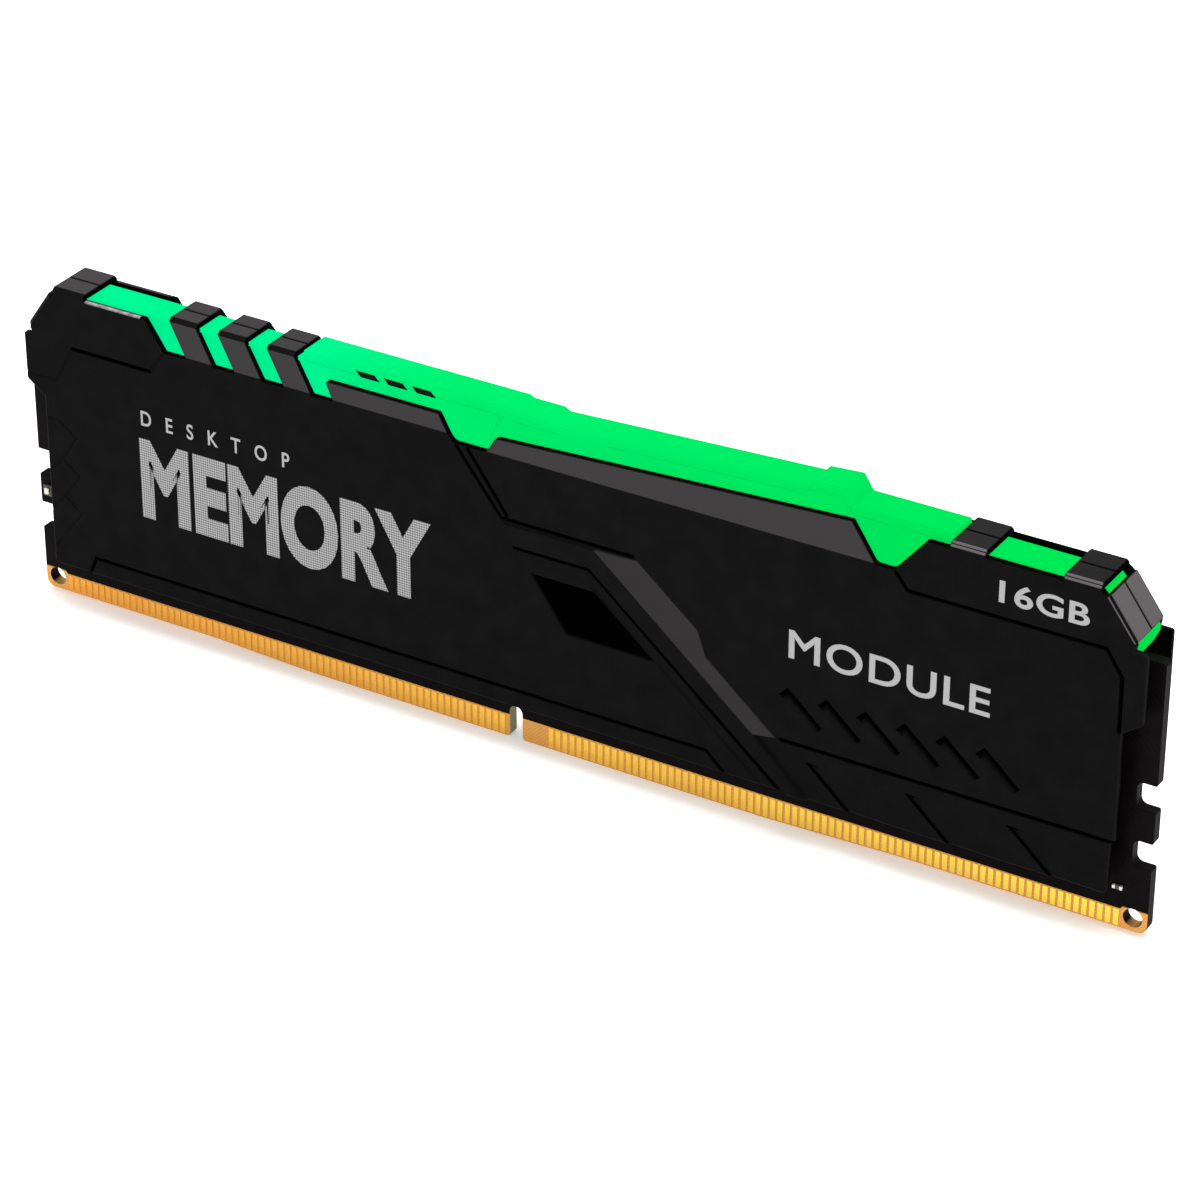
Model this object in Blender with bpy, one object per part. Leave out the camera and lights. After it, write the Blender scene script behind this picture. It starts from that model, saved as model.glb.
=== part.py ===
"""A 288-pin desktop memory module with two folded heat spreaders and a light bar, in Blender 4.5.

The frame's origin is the middle of the board's mating edge, half way through the board. +X runs along the
board, the front face looks along -Y and +Z points away from the socket. Sizes below are in millimetres.
"""

import math

import bmesh
import bpy
from mathutils import Vector

MM = 0.001

# Board: the outline of a standard 288-pin unbuffered module.
BOARD_HALF_LENGTH = 66.675
BOARD_HEIGHT = 31.25
BOARD_THICKNESS = 1.4
BOARD_END_RISE = 0.5
BOARD_CORNER_RADIUS = 1.0
BOARD_STEPS_LEFT = (-44.0, -31.0)
BOARD_STEPS_RIGHT = (24.0, 39.0)
KEY_X = -5.575
KEY_WIDTH = 1.5
KEY_HEIGHT = 3.85
LATCH_NOTCH_BOTTOMS = (8.0, 14.6)
LATCH_NOTCH_HEIGHT = 3.0
LATCH_NOTCH_DEPTH = 2.1
LATCH_NOTCH_RADIUS = 0.75
CORNER_HOLE_X = 65.1
CORNER_HOLE_Z = 2.05
CORNER_HOLE_RADIUS = 0.95

# Contacts: fingers on a 0.85 mm pitch, joined by their plating bus so that each bank is one body.
CONTACT_PITCH = 0.85
CONTACT_WIDTH = 0.6
CONTACT_CLEARANCE = 0.2
CONTACT_TOP = 2.6
CONTACT_THICKNESS = 0.04
CONTACT_BUS_HEIGHT = 0.15
LEFT_BANK_END = -7.225
LEFT_BANK_COUNT = 67
RIGHT_BANK_END = 63.325
RIGHT_BANK_COUNT = 77
FIT_GAP = 0.01

# Spreaders: one folded sheet on each face. Depths are distances from the board's middle plane.
FACE_DEPTH = 3.1
RIDGE_DEPTH = 3.5
SHEET = 0.65
SPREADER_BOTTOM = 5.5
SPREADER_TOP = 38.66
FOLD_TOP = 39.35
FOLD_BOTTOM = 38.5
FOLD_SETBACK = 0.3
END_FOLD_INSET = 0.6
SEAM_HALF_GAP = 0.06
LEAN = 0.16
LEFT_BEND_Z = 35.45
MIDDLE_BEND_Z = 34.62
STEP_Z = 11.65
GROOVE_WIDTH = 0.32
GROOVE_DEPTH = 0.2
RECESS_DEPTH = 0.32
SLOPE_WIDTH = 3.0
CUT_CLEARANCE = 1.0
# Joined shapes stop this far short of each other's faces, so that no two faces coincide.
STAGGER = 0.03

# Stripes between the light bar's slanted fingers: each leans left as it rises.
STRIPE_PITCH = 6.16
STRIPE_WIDTH = 3.5
STRIPE_LAST_RIGHT = -28.55
STRIPE_SHIFT = 2.37
STRIPE_TOP = 39.25
FINGER_BOTTOM = 35.28
STRIPE_COUNT = 3

# Slots and pockets cut in the face beside the ridge.
SLOT_PITCH = 4.35
SLOT_COUNT = 6
POCKET_PITCH = 11.16
POCKET_COUNT = 3

# Light bar: the translucent body between the two sheets.
BAR_BOTTOM = 31.6
BAR_HALF_DEPTH = 2.36
BAR_GAP = 0.08
BAR_HEAD_BOTTOM = 38.3
BAR_HEAD_HALF_DEPTH = 2.15
BAR_TOP = 39.54
BAR_PEAK = 41.2

# Chips and small parts on the board.
CHIP_SIZE = (7.5, 1.1, 11.0)
CHIP_CENTRES_X = (-56.2, -43.7, -31.2, -18.7, 18.7, 31.2, 43.7, 56.2)
CHIP_Z = 17.5
CHIP_STANDOFF = 0.05
PAD_SIZE = (121.0, 0.45, 17.0)
PAD_Z = 18.0
PAD_GAP = 0.06
ARRAY_SIZE = (1.1, 0.35, 0.9)
ARRAY_Z = 4.4
ARRAY_PITCH = 3.1
ARRAY_COUNT = 12
ARRAY_GROUP_STARTS = (-57.55, 25.8)
LED_SIZE = (3.0, 0.9, 1.2)
LED_Z = 30.3
LED_CENTRES_X = (-52.0, -26.0, 0.0, 26.0, 52.0)
INFRARED_SIZE = (1.1, 0.6, 1.3)
INFRARED_X = -65.5
INFRARED_Z = 12.8
LABEL_SIZE = (44.0, 0.1, 12.0)
LABEL_X = -33.0
LABEL_Z = 19.5


def clear_scene():
    for obj in list(bpy.data.objects):
        bpy.data.objects.remove(obj, do_unlink=True)


def make_material(name, colour, roughness, metallic=0.0, glow=0.0):
    """A Principled material. A glow above zero makes it emit its own colour."""
    material = bpy.data.materials.new(name)
    material.use_nodes = True
    shader = material.node_tree.nodes["Principled BSDF"]
    shader.inputs["Base Color"].default_value = (*colour, 1.0)
    shader.inputs["Roughness"].default_value = roughness
    shader.inputs["Metallic"].default_value = metallic
    shader.inputs["Emission Color"].default_value = (*colour, 1.0)
    shader.inputs["Emission Strength"].default_value = glow
    material.diffuse_color = (*colour, 1.0)
    return material


def arc(centre_x, centre_z, radius, start, end, steps=6):
    """Points round a circle in the XZ plane, from one angle to another, in degrees."""
    points = []
    for step in range(steps + 1):
        angle = math.radians(start + (end - start) * step / steps)
        points.append((centre_x + radius * math.cos(angle), centre_z + radius * math.sin(angle)))
    return points


def mirrored(points):
    """The same outline on the other side of X = 0, walked the other way round."""
    return [(-x, z) for x, z in reversed(points)]


def prism(name, outline, near, far, material=None):
    """A solid with an XZ outline. near and far give Y at each end, as a number or a function of x and z."""
    near_of = near if callable(near) else lambda x, z: near
    far_of = far if callable(far) else lambda x, z: far
    mesh = bmesh.new()
    near_face = mesh.faces.new([mesh.verts.new(Vector((x, near_of(x, z), z)) * MM) for x, z in outline])
    far_face = mesh.faces.new([mesh.verts.new(Vector((x, far_of(x, z), z)) * MM) for x, z in outline])
    for index in range(len(outline)):
        following = (index + 1) % len(outline)
        near_edge = (near_face.verts[index], near_face.verts[following])
        far_edge = (far_face.verts[following], far_face.verts[index])
        mesh.faces.new(near_edge + far_edge)
    bmesh.ops.recalc_face_normals(mesh, faces=mesh.faces)
    return object_from(name, mesh, material)


def object_from(name, mesh, material=None):
    data = bpy.data.meshes.new(name)
    mesh.to_mesh(data)
    mesh.free()
    obj = bpy.data.objects.new(name, data)
    bpy.context.scene.collection.objects.link(obj)
    if material:
        data.materials.append(material)
    return obj


def box(name, centre, size, material=None):
    x, y, z = centre
    half_x, half_y, half_z = (side / 2 for side in size)
    outline = [
        (x - half_x, z - half_z),
        (x + half_x, z - half_z),
        (x + half_x, z + half_z),
        (x - half_x, z + half_z),
    ]
    return prism(name, outline, y - half_y, y + half_y, material)


def combine(target, helper, operation):
    """Adds or removes a helper's shape by a Boolean, and hides the helper."""
    helper.hide_render = True
    helper.display_type = "WIRE"
    modifier = target.modifiers.new(f"{operation.lower()}_{helper.name}", "BOOLEAN")
    modifier.operation = operation
    modifier.solver = "EXACT"
    modifier.object = helper


def board_outline():
    """The board's edge, anticlockwise from the key notch."""
    key_left = KEY_X - KEY_WIDTH / 2
    key_right = KEY_X + KEY_WIDTH / 2
    key_round_z = KEY_HEIGHT - KEY_WIDTH / 2
    outline = [(key_right, 0.0), (BOARD_STEPS_RIGHT[0], 0.0), (BOARD_STEPS_RIGHT[1], BOARD_END_RISE)]
    outline += right_board_edge()
    outline += mirrored(right_board_edge())
    outline += [(BOARD_STEPS_LEFT[0], BOARD_END_RISE), (BOARD_STEPS_LEFT[1], 0.0), (key_left, 0.0)]
    outline += arc(KEY_X, key_round_z, KEY_WIDTH / 2, 180, 0, 8)
    return outline


def right_board_edge():
    """The right-hand end of the board, from its bottom corner to its top corner."""
    radius = BOARD_CORNER_RADIUS
    corner_x = BOARD_HALF_LENGTH - radius
    edge = arc(corner_x, BOARD_END_RISE + radius, radius, -90, 0)
    for bottom in LATCH_NOTCH_BOTTOMS:
        top = bottom + LATCH_NOTCH_HEIGHT
        inner_x = BOARD_HALF_LENGTH - LATCH_NOTCH_DEPTH + LATCH_NOTCH_RADIUS
        edge.append((BOARD_HALF_LENGTH, bottom))
        edge += arc(inner_x, bottom + LATCH_NOTCH_RADIUS, LATCH_NOTCH_RADIUS, 270, 180, 4)
        edge += arc(inner_x, top - LATCH_NOTCH_RADIUS, LATCH_NOTCH_RADIUS, 180, 90, 4)
        edge.append((BOARD_HALF_LENGTH, top))
    edge.append((BOARD_HALF_LENGTH, BOARD_HEIGHT))
    return edge


def build_board(material):
    half = BOARD_THICKNESS / 2
    board = prism("pcb", board_outline(), -half, half, material)
    for side, name in ((-1, "left"), (1, "right")):
        circle = arc(side * CORNER_HOLE_X, CORNER_HOLE_Z, CORNER_HOLE_RADIUS, 0, 360, 16)[:-1]
        hole = prism(f"{name}_hole_cutter", circle, -CUT_CLEARANCE - half, CUT_CLEARANCE + half)
        combine(board, hole, "DIFFERENCE")


def board_edge_height(x):
    """Height of the board's mating edge, which steps up towards both ends."""
    inner, outer = BOARD_STEPS_RIGHT if x > 0 else reversed(BOARD_STEPS_LEFT)
    share = (x - inner) / (outer - inner)
    return BOARD_END_RISE * min(1.0, max(0.0, share))


def build_contact_bank(name, last_x, count, side, material):
    """One bank of contact fingers hanging from a thin bus. side is -1 on the front and 1 on the back."""
    first_x = last_x - (count - 1) * CONTACT_PITCH
    bus_bottom = CONTACT_TOP - CONTACT_BUS_HEIGHT
    outline = [(last_x + CONTACT_WIDTH / 2, CONTACT_TOP), (first_x - CONTACT_WIDTH / 2, CONTACT_TOP)]
    for index in range(count):
        left = first_x + index * CONTACT_PITCH - CONTACT_WIDTH / 2
        right = left + CONTACT_WIDTH
        bottom = board_edge_height((left + right) / 2) + CONTACT_CLEARANCE
        if index:
            outline.append((left, bus_bottom))
        outline += [(left, bottom), (right, bottom)]
        if index < count - 1:
            outline.append((right, bus_bottom))
    inner = BOARD_THICKNESS / 2 + FIT_GAP
    prism(name, outline, side * inner, side * (inner + CONTACT_THICKNESS), material)


def stripe_right_edges():
    """The right-hand bottom corner of each stripe, from the last stripe to the first."""
    return [STRIPE_LAST_RIGHT - index * STRIPE_PITCH for index in range(STRIPE_COUNT)]


def spreader_outline():
    """The sheet seen from the front, anticlockwise from the bottom left corner."""
    outline = [
        (-63.4, SPREADER_BOTTOM),
        (63.15, SPREADER_BOTTOM),
        (63.15, STEP_Z),
        (63.6, STEP_Z),
        (63.6, 23.9),
        (65.7, 25.4),
        (65.7, 33.1),
        (64.1, 33.1),
        (64.1, 33.7),
        (64.8, 34.0),
        (61.4, SPREADER_TOP),
        (42.28, SPREADER_TOP),
        (38.85, 34.54),
        (36.84, 34.54),
        (33.9, 38.2),
        (-6.44, 36.22),
        (-7.38, 34.59),
        (-11.38, 34.59),
        (-13.24, 37.23),
        (-27.12, 37.23),
        (-25.97, FINGER_BOTTOM),
    ]
    for right in stripe_right_edges():
        outline += [
            (right, FINGER_BOTTOM),
            (right - STRIPE_SHIFT, STRIPE_TOP),
            (right - STRIPE_SHIFT - STRIPE_WIDTH, STRIPE_TOP),
            (right - STRIPE_WIDTH, FINGER_BOTTOM),
        ]
    outline += [
        (-47.17, FINGER_BOTTOM),
        (-49.45, SPREADER_TOP),
        (-62.0, SPREADER_TOP),
        (-65.2, 34.0),
        (-64.6, 33.7),
        (-64.6, 33.1),
        (-65.6, 33.1),
        (-65.6, 27.5),
        (-63.4, 25.9),
    ]
    return outline


def bend_height(x):
    """Where the sheet starts to lean in, or None where it stays upright to its top edge."""
    if -48.0 < x < -12.0:
        return LEFT_BEND_Z
    if -12.0 <= x < 38.0:
        return MIDDLE_BEND_Z
    return None


def lean_in(x, z):
    """How far the sheet has leaned towards the board at a point."""
    bend = bend_height(x)
    return LEAN * (z - bend) if bend is not None and z > bend else 0.0


def cut_across(mesh, height):
    """Adds an edge round the mesh at one height, where it can then be bent."""
    everything = list(mesh.verts) + list(mesh.edges) + list(mesh.faces)
    level = (0, 0, height * MM)
    bmesh.ops.bisect_plane(mesh, geom=everything, dist=1e-7, plane_co=level, plane_no=(0, 0, 1))


def bent_sheet(name, side, material):
    """The flat outline with its bend lines cut in, and everything above them leaned towards the board."""
    sheet = prism(name, spreader_outline(), side * FACE_DEPTH, side * (FACE_DEPTH - SHEET), material)
    mesh = bmesh.new()
    mesh.from_mesh(sheet.data)
    for bend in (LEFT_BEND_Z, MIDDLE_BEND_Z):
        cut_across(mesh, bend)
    for vert in mesh.verts:
        vert.co.y -= side * lean_in(vert.co.x / MM, vert.co.z / MM) * MM
    mesh.to_mesh(sheet.data)
    mesh.free()
    return sheet


def add_fold(sheet, name, left, right, outer_depth, side):
    """A tab folded over the top edge, reaching almost to the middle plane."""
    outline = [(left, FOLD_BOTTOM), (right, FOLD_BOTTOM), (right, FOLD_TOP), (left, FOLD_TOP)]
    tab = prism(name, outline, side * outer_depth, side * SEAM_HALF_GAP)
    combine(sheet, tab, "UNION")


def add_end_fold(sheet, name, top, bottom, side):
    """A tab folded over a sloping end, flush with the slope between two points."""
    along = (Vector(bottom) - Vector(top)).normalized()
    inward = Vector((-math.copysign(abs(along.y), top[0]), -abs(along.x)))
    start = Vector(top) + along * END_FOLD_INSET + inward * STAGGER
    end = Vector(bottom) - along * END_FOLD_INSET + inward * STAGGER
    thick = inward * SHEET
    outline = [tuple(start), tuple(end), tuple(end + thick), tuple(start + thick)]
    tab = prism(name, outline, side * (FACE_DEPTH - STAGGER), side * SEAM_HALF_GAP)
    combine(sheet, tab, "UNION")


def groove_outline(points, width):
    """A constant-width strip round an open line of points, mitred at its corners."""
    line = [Vector(point) for point in points]
    left_side = []
    right_side = []
    for index, point in enumerate(line):
        before = (point - line[index - 1]).normalized() if index else None
        after = (line[index + 1] - point).normalized() if index < len(line) - 1 else None
        heading = ((before or after) + (after or before)).normalized()
        across = Vector((-heading.y, heading.x))
        reach = width / 2 / max(0.3, heading.dot(after or before))
        left_side.append(tuple(point + across * reach))
        right_side.append(tuple(point - across * reach))
    return left_side + right_side[::-1]


def cut_pocket(sheet, name, outline, depth, side, surface=FACE_DEPTH):
    cutter = prism(name, outline, side * (surface + CUT_CLEARANCE), side * (surface - depth))
    combine(sheet, cutter, "DIFFERENCE")


def cut_grooves(sheet, prefix, side):
    """The stamped lines that divide the face."""
    lines = {
        "left_line": [(-64.6, 28.3), (-61.61, 28.3), (-59.18, 32.59), (-49.17, 32.59), (-47.4, 34.9)],
        "right_line": [(39.1, 34.0), (40.4, 32.65), (61.45, 32.65), (63.3, 30.0), (63.3, 24.5)],
        "bottom_line": [(-58.9, 5.0), (-57.75, 7.56), (18.54, 7.56), (21.3, 5.0)],
        "step_line": [(27.2, STEP_Z), (64.5, STEP_Z)],
        "upper_slant": [(-9.4, 33.7), (-5.23, 28.2)],
        "lower_slant": [(-10.96, 33.7), (-3.6, 23.4)],
    }
    for name, points in lines.items():
        cut_pocket(sheet, f"{prefix}_{name}", groove_outline(points, GROOVE_WIDTH), GROOVE_DEPTH, side)


def cut_slots(sheet, prefix, side):
    """Six slanted slots above the step line and three slanted pockets below it."""
    for index in range(SLOT_COUNT):
        x = 26.69 + SLOT_PITCH * index
        outline = [(x, 16.85), (x + 4.01, 13.28), (x + 5.01, 14.28), (x + 1.0, 17.86)]
        cut_pocket(sheet, f"{prefix}_slot_{index + 1}", outline, GROOVE_DEPTH, side)
    for index in range(POCKET_COUNT):
        x = 29.8 + POCKET_PITCH * index
        outline = [(x, 9.85), (x + 5.3, 5.0), (x + 11.0, 5.0), (x + 5.5, 9.85)]
        cut_pocket(sheet, f"{prefix}_pocket_{index + 1}", outline, GROOVE_DEPTH, side)


def add_ridge(sheet, prefix, side):
    """The raised band that runs down to the right, with a long slope on its upper side."""
    root = side * (FACE_DEPTH - SHEET / 2)
    band = [(-5.6, 27.5), (5.2, 27.5), (30.9, 5.55), (28.9, 5.55), (4.81, 25.3), (-4.2, 25.3)]
    combine(sheet, prism(f"{prefix}_band", band, side * RIDGE_DEPTH, root), "UNION")
    edge_start = Vector((5.2, 27.5))
    edge = (Vector((30.9, 5.55)) - edge_start).normalized()
    across = Vector((-edge.y, edge.x))
    fall = (RIDGE_DEPTH - FACE_DEPTH) / SLOPE_WIDTH

    def slope_depth(x, z):
        return side * (RIDGE_DEPTH - STAGGER - fall * across.dot(Vector((x, z)) - edge_start))

    slope = [(5.1, 27.45), (23.9, 11.4), (26.9, 11.4), (18.3, 18.8), (17.3, 21.3), (10.1, 27.45)]
    combine(sheet, prism(f"{prefix}_slope", slope, slope_depth, root), "UNION")


def build_spreader(name, side, material):
    sheet = bent_sheet(name, side, material)
    for index, right in enumerate(stripe_right_edges()):
        top_right = right - STRIPE_SHIFT
        depth = FACE_DEPTH - lean_in(top_right, FOLD_BOTTOM) - STAGGER
        add_fold(sheet, f"{name}_fold_{index + 1}", top_right - STRIPE_WIDTH, top_right, depth, side)
    for index, (left, right) in enumerate(((-61.2, -57.3), (44.7, 48.5), (56.35, 60.7))):
        add_fold(sheet, f"{name}_fold_{index + 4}", left, right, FACE_DEPTH - FOLD_SETBACK, side)
    add_end_fold(sheet, f"{name}_end_fold_left", (-62.0, SPREADER_TOP), (-65.2, 34.0), side)
    add_end_fold(sheet, f"{name}_end_fold_right", (61.4, SPREADER_TOP), (64.8, 34.0), side)
    add_ridge(sheet, name, side)
    cut_grooves(sheet, name, side)
    cut_slots(sheet, name, side)
    recess = [(-2.52, 22.3), (5.38, 22.3), (12.82, 15.85), (1.8, 15.85)]
    cut_pocket(sheet, f"{name}_recess", recess, RECESS_DEPTH, side)


def bar_outline():
    """The part of the light bar below its head, anticlockwise from its bottom left corner."""
    under_fold = FOLD_BOTTOM - BAR_GAP
    return [
        (-64.2, BAR_BOTTOM),
        (63.85, BAR_BOTTOM),
        (63.85, 33.9),
        (60.6, under_fold),
        (-61.2, under_fold),
        (-64.2, 33.9),
    ]


def bar_head_outline():
    """The part of the light bar that stands above the sheets, with its raised step near one end."""
    return [
        (-30.1, BAR_HEAD_BOTTOM),
        (44.5, BAR_HEAD_BOTTOM),
        (44.5, BAR_TOP),
        (33.9, BAR_TOP),
        (32.84, BAR_PEAK),
        (29.12, 40.89),
        (28.7, 40.37),
        (-0.4, 38.89),
        (-1.09, 39.26),
        (-4.66, 39.26),
        (-5.23, BAR_TOP),
        (-30.1, BAR_TOP),
    ]


def build_light_bar(material):
    """Upright behind the sheets, then leaning in with them, with a wider head above their edge."""
    bar = prism("light_bar", bar_outline(), -BAR_HALF_DEPTH, BAR_HALF_DEPTH, material)
    mesh = bmesh.new()
    mesh.from_mesh(bar.data)
    cut_across(mesh, MIDDLE_BEND_Z)
    for vert in mesh.verts:
        rise = max(0.0, vert.co.z / MM - MIDDLE_BEND_Z)
        vert.co.y = math.copysign((BAR_HALF_DEPTH - LEAN * rise) * MM, vert.co.y)
    mesh.to_mesh(bar.data)
    mesh.free()
    head = prism("light_bar_head", bar_head_outline(), -BAR_HEAD_HALF_DEPTH, BAR_HEAD_HALF_DEPTH)
    combine(bar, head, "UNION")


def build_chips(material):
    offset = BOARD_THICKNESS / 2 + CHIP_STANDOFF + CHIP_SIZE[1] / 2
    for side, face in ((-1, "front"), (1, "back")):
        for index, x in enumerate(CHIP_CENTRES_X):
            box(f"{face}_dram_chip_{index + 1}", (x, side * offset, CHIP_Z), CHIP_SIZE, material)


def build_pads(material):
    chip_face = BOARD_THICKNESS / 2 + CHIP_STANDOFF + CHIP_SIZE[1]
    offset = chip_face + PAD_GAP + PAD_SIZE[1] / 2
    for side, face in ((-1, "front"), (1, "back")):
        box(f"{face}_thermal_pad", (0.0, side * offset, PAD_Z), PAD_SIZE, material)


def build_resistor_arrays(material):
    offset = BOARD_THICKNESS / 2 + FIT_GAP + ARRAY_SIZE[1] / 2
    number = 1
    for start in ARRAY_GROUP_STARTS:
        for index in range(ARRAY_COUNT):
            x = start + index * ARRAY_PITCH
            box(f"resistor_array_{number:02d}", (x, -offset, ARRAY_Z), ARRAY_SIZE, material)
            number += 1


def build_leds(material):
    offset = BOARD_THICKNESS / 2 + FIT_GAP + LED_SIZE[1] / 2
    for index, x in enumerate(LED_CENTRES_X):
        box(f"led_{index + 1}", (x, -offset, LED_Z), LED_SIZE, material)


def build_small_parts(plastic, infrared, paper):
    """The identity memory, the lighting controller, the infrared pair and the rating label."""
    surface = BOARD_THICKNESS / 2 + FIT_GAP
    for name, centre, size in (
        ("spd_eeprom", (0.0, 14.0), (3.0, 0.75, 2.0)),
        ("lighting_controller", (3.5, 25.5), (5.0, 0.9, 5.0)),
    ):
        box(name, (centre[0], -surface - size[1] / 2, centre[1]), size, plastic)
    infrared_offset = surface + INFRARED_SIZE[1] / 2
    box("ir_emitter", (INFRARED_X, -infrared_offset, INFRARED_Z), INFRARED_SIZE, infrared)
    box("ir_receiver", (INFRARED_X, infrared_offset, INFRARED_Z), INFRARED_SIZE, infrared)
    box("rating_label", (LABEL_X, FACE_DEPTH + FIT_GAP + LABEL_SIZE[1] / 2, LABEL_Z), LABEL_SIZE, paper)


def build():
    clear_scene()
    solder_mask = make_material("solder_mask", (0.012, 0.012, 0.013), 0.45)
    gold = make_material("gold_plating", (0.85, 0.56, 0.16), 0.28, 1.0)
    black_metal = make_material("black_anodised_aluminium", (0.022, 0.022, 0.024), 0.42, 0.7)
    diffuser = make_material("frosted_diffuser", (0.0, 0.85, 0.42), 0.5, 0.0, 1.0)
    pad = make_material("thermal_pad", (0.35, 0.4, 0.5), 0.85)
    chip = make_material("chip_resin", (0.02, 0.02, 0.022), 0.6)
    array = make_material("ceramic_array", (0.03, 0.03, 0.035), 0.5)
    led = make_material("led_package", (0.8, 0.8, 0.76), 0.4)
    infrared = make_material("infrared_lens", (0.75, 0.62, 0.4), 0.25)
    label = make_material("label_stock", (0.75, 0.75, 0.73), 0.6)

    build_board(solder_mask)
    for side, face in ((-1, "front"), (1, "back")):
        build_contact_bank(f"{face}_contacts_left", LEFT_BANK_END, LEFT_BANK_COUNT, side, gold)
        build_contact_bank(f"{face}_contacts_right", RIGHT_BANK_END, RIGHT_BANK_COUNT, side, gold)
        build_spreader(f"{face}_heat_spreader", side, black_metal)
    build_light_bar(diffuser)
    build_chips(chip)
    build_pads(pad)
    build_resistor_arrays(array)
    build_leds(led)
    build_small_parts(chip, infrared, label)


build()
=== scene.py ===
"""The looks of a 288-pin desktop memory module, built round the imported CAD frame.

Flat shapes are drawn in the frame's XZ plane, in millimetres, with the front face looking along -Y. The
folded sheets, the board and the light bar are triangulated flat outlines that are then pushed to depth, so
every step, groove and bend is geometry.
"""

import math
from collections import namedtuple

import bmesh
import bpy
import numpy as np
from mathutils import Matrix, Vector
from mathutils.geometry import delaunay_2d_cdt


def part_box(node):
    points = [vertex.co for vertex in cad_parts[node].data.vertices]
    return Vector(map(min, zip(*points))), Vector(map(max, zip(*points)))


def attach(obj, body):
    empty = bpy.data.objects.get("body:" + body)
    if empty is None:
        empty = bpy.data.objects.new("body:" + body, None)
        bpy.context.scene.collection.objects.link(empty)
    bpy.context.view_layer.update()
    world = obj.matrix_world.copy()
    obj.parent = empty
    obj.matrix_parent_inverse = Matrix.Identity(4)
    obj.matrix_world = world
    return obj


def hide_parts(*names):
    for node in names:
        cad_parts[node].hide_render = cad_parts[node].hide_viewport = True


MM = 0.001
FRONT, BACK = -1, 1
FACES = {"front": FRONT, "back": BACK}

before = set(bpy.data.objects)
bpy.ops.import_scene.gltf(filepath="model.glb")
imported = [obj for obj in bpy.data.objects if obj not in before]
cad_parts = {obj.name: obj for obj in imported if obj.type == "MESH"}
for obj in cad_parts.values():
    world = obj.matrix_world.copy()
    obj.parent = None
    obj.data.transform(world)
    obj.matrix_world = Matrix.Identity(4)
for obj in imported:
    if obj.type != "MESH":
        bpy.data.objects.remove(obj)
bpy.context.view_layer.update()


def box_mm(node):
    """The lowest and highest corner of a CAD node, in millimetres."""
    low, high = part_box(node)
    return low / MM, high / MM


BOARD_LOW, BOARD_HIGH = box_mm("pcb")
BOARD_DEPTH = BOARD_HIGH.y
SHEET_LOW, _ = box_mm("front_heat_spreader")
SHEET_BOTTOM = SHEET_LOW.z
SHEET_THICKNESS = 0.65
RIDGE_RISE = 0.4
FACE_DEPTH = -SHEET_LOW.y - RIDGE_RISE

# Each tab leaves the sheet at its fold line, turns over a short facet and ends at the middle seam.
TOP_EDGE = 38.66
FOLD_LINE = 38.83
FOLD_TURN = 0.12
FOLD_FACET = 0.45
SEAM_GAP = 0.05
SEAM_RIM_FROM = 2.0
LEAN = 0.16
BEND_ROUND = 0.06
LEFT_BEND = 35.45
MIDDLE_BEND = 34.62
BEND_CHANGE = -11.3
CHAMFER_RIGHT = ((64.8, 34.0), (61.4, TOP_EDGE))
CHAMFER_LEFT = ((-62.0, TOP_EDGE), (-65.2, 34.0))
CHAMFER_RELIEF = 0.22
BENT_FROM, BENT_TO = -46.0, 38.0
NOTCH_SLANT = 0.6

STRIPE_COUNT = 3
STRIPE_PITCH = 6.16
STRIPE_WIDTH = 3.5
STRIPE_LAST_RIGHT = -28.55
STRIPE_SHIFT = 2.37
FINGER_BOTTOM = 35.28

EDGE_ROUND = 0.22
EDGE_DROP = 0.13
WALL_SHARES = (0.0, 0.3, 0.7, 1.0)
RIDGE_SLOPE = 0.156
RIDGE_ROUND = 0.05
# Painted shade on the inner face and rim walls of the sheets.
INSIDE_PAINTED_SHADE = 0.8


# ---- flat geometry


def on_circle(centre, radius, angle):
    return centre[0] + radius * math.cos(angle), centre[1] + radius * math.sin(angle)


def round_corners(corners, steps=4):
    """A closed outline from (x, z) or (x, z, radius) corners, with an arc where there is a radius."""
    outline = []
    for index, (x, z, *rounding) in enumerate(corners):
        corner = Vector((x, z))
        radius = sum(rounding)
        if not radius:
            outline.append(tuple(corner))
            continue
        before = (Vector(corners[index - 1][:2]) - corner).normalized()
        after = (Vector(corners[(index + 1) % len(corners)][:2]) - corner).normalized()
        half = before.angle(after) / 2
        centre = corner + (before + after).normalized() * radius / math.sin(half)
        start = corner + before * radius / math.tan(half) - centre
        end = corner + after * radius / math.tan(half) - centre
        first = math.atan2(start.y, start.x)
        turn = math.atan2(start.x * end.y - start.y * end.x, start.dot(end))
        for step in range(steps + 1):
            outline.append(on_circle(centre, radius, first + turn * step / steps))
    return outline


def circle(x, z, radius):
    return [on_circle((x, z), radius, angle) for angle in np.linspace(0, 2 * math.pi, 24, endpoint=False)]


def unit(vectors):
    return vectors / np.maximum(np.linalg.norm(vectors, axis=1), 1e-12)[:, None]


def left_of(steps):
    """The unit direction to the left of each step."""
    return unit(np.stack([-steps[:, 1], steps[:, 0]], 1))


def parallel(path, distance, closed=False):
    """The path moved to its left by a distance, with mitred corners."""
    points = np.array(path, float)
    before = points - np.roll(points, 1, axis=0)
    after = np.roll(points, -1, axis=0) - points
    if not closed:
        before[0] = after[0]
        after[-1] = before[-1]
    mitre = unit(left_of(before) + left_of(after))
    reach = distance / np.maximum(0.4, (mitre * left_of(after)).sum(1))
    return [tuple(point) for point in points + mitre * reach[:, None]]


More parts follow.
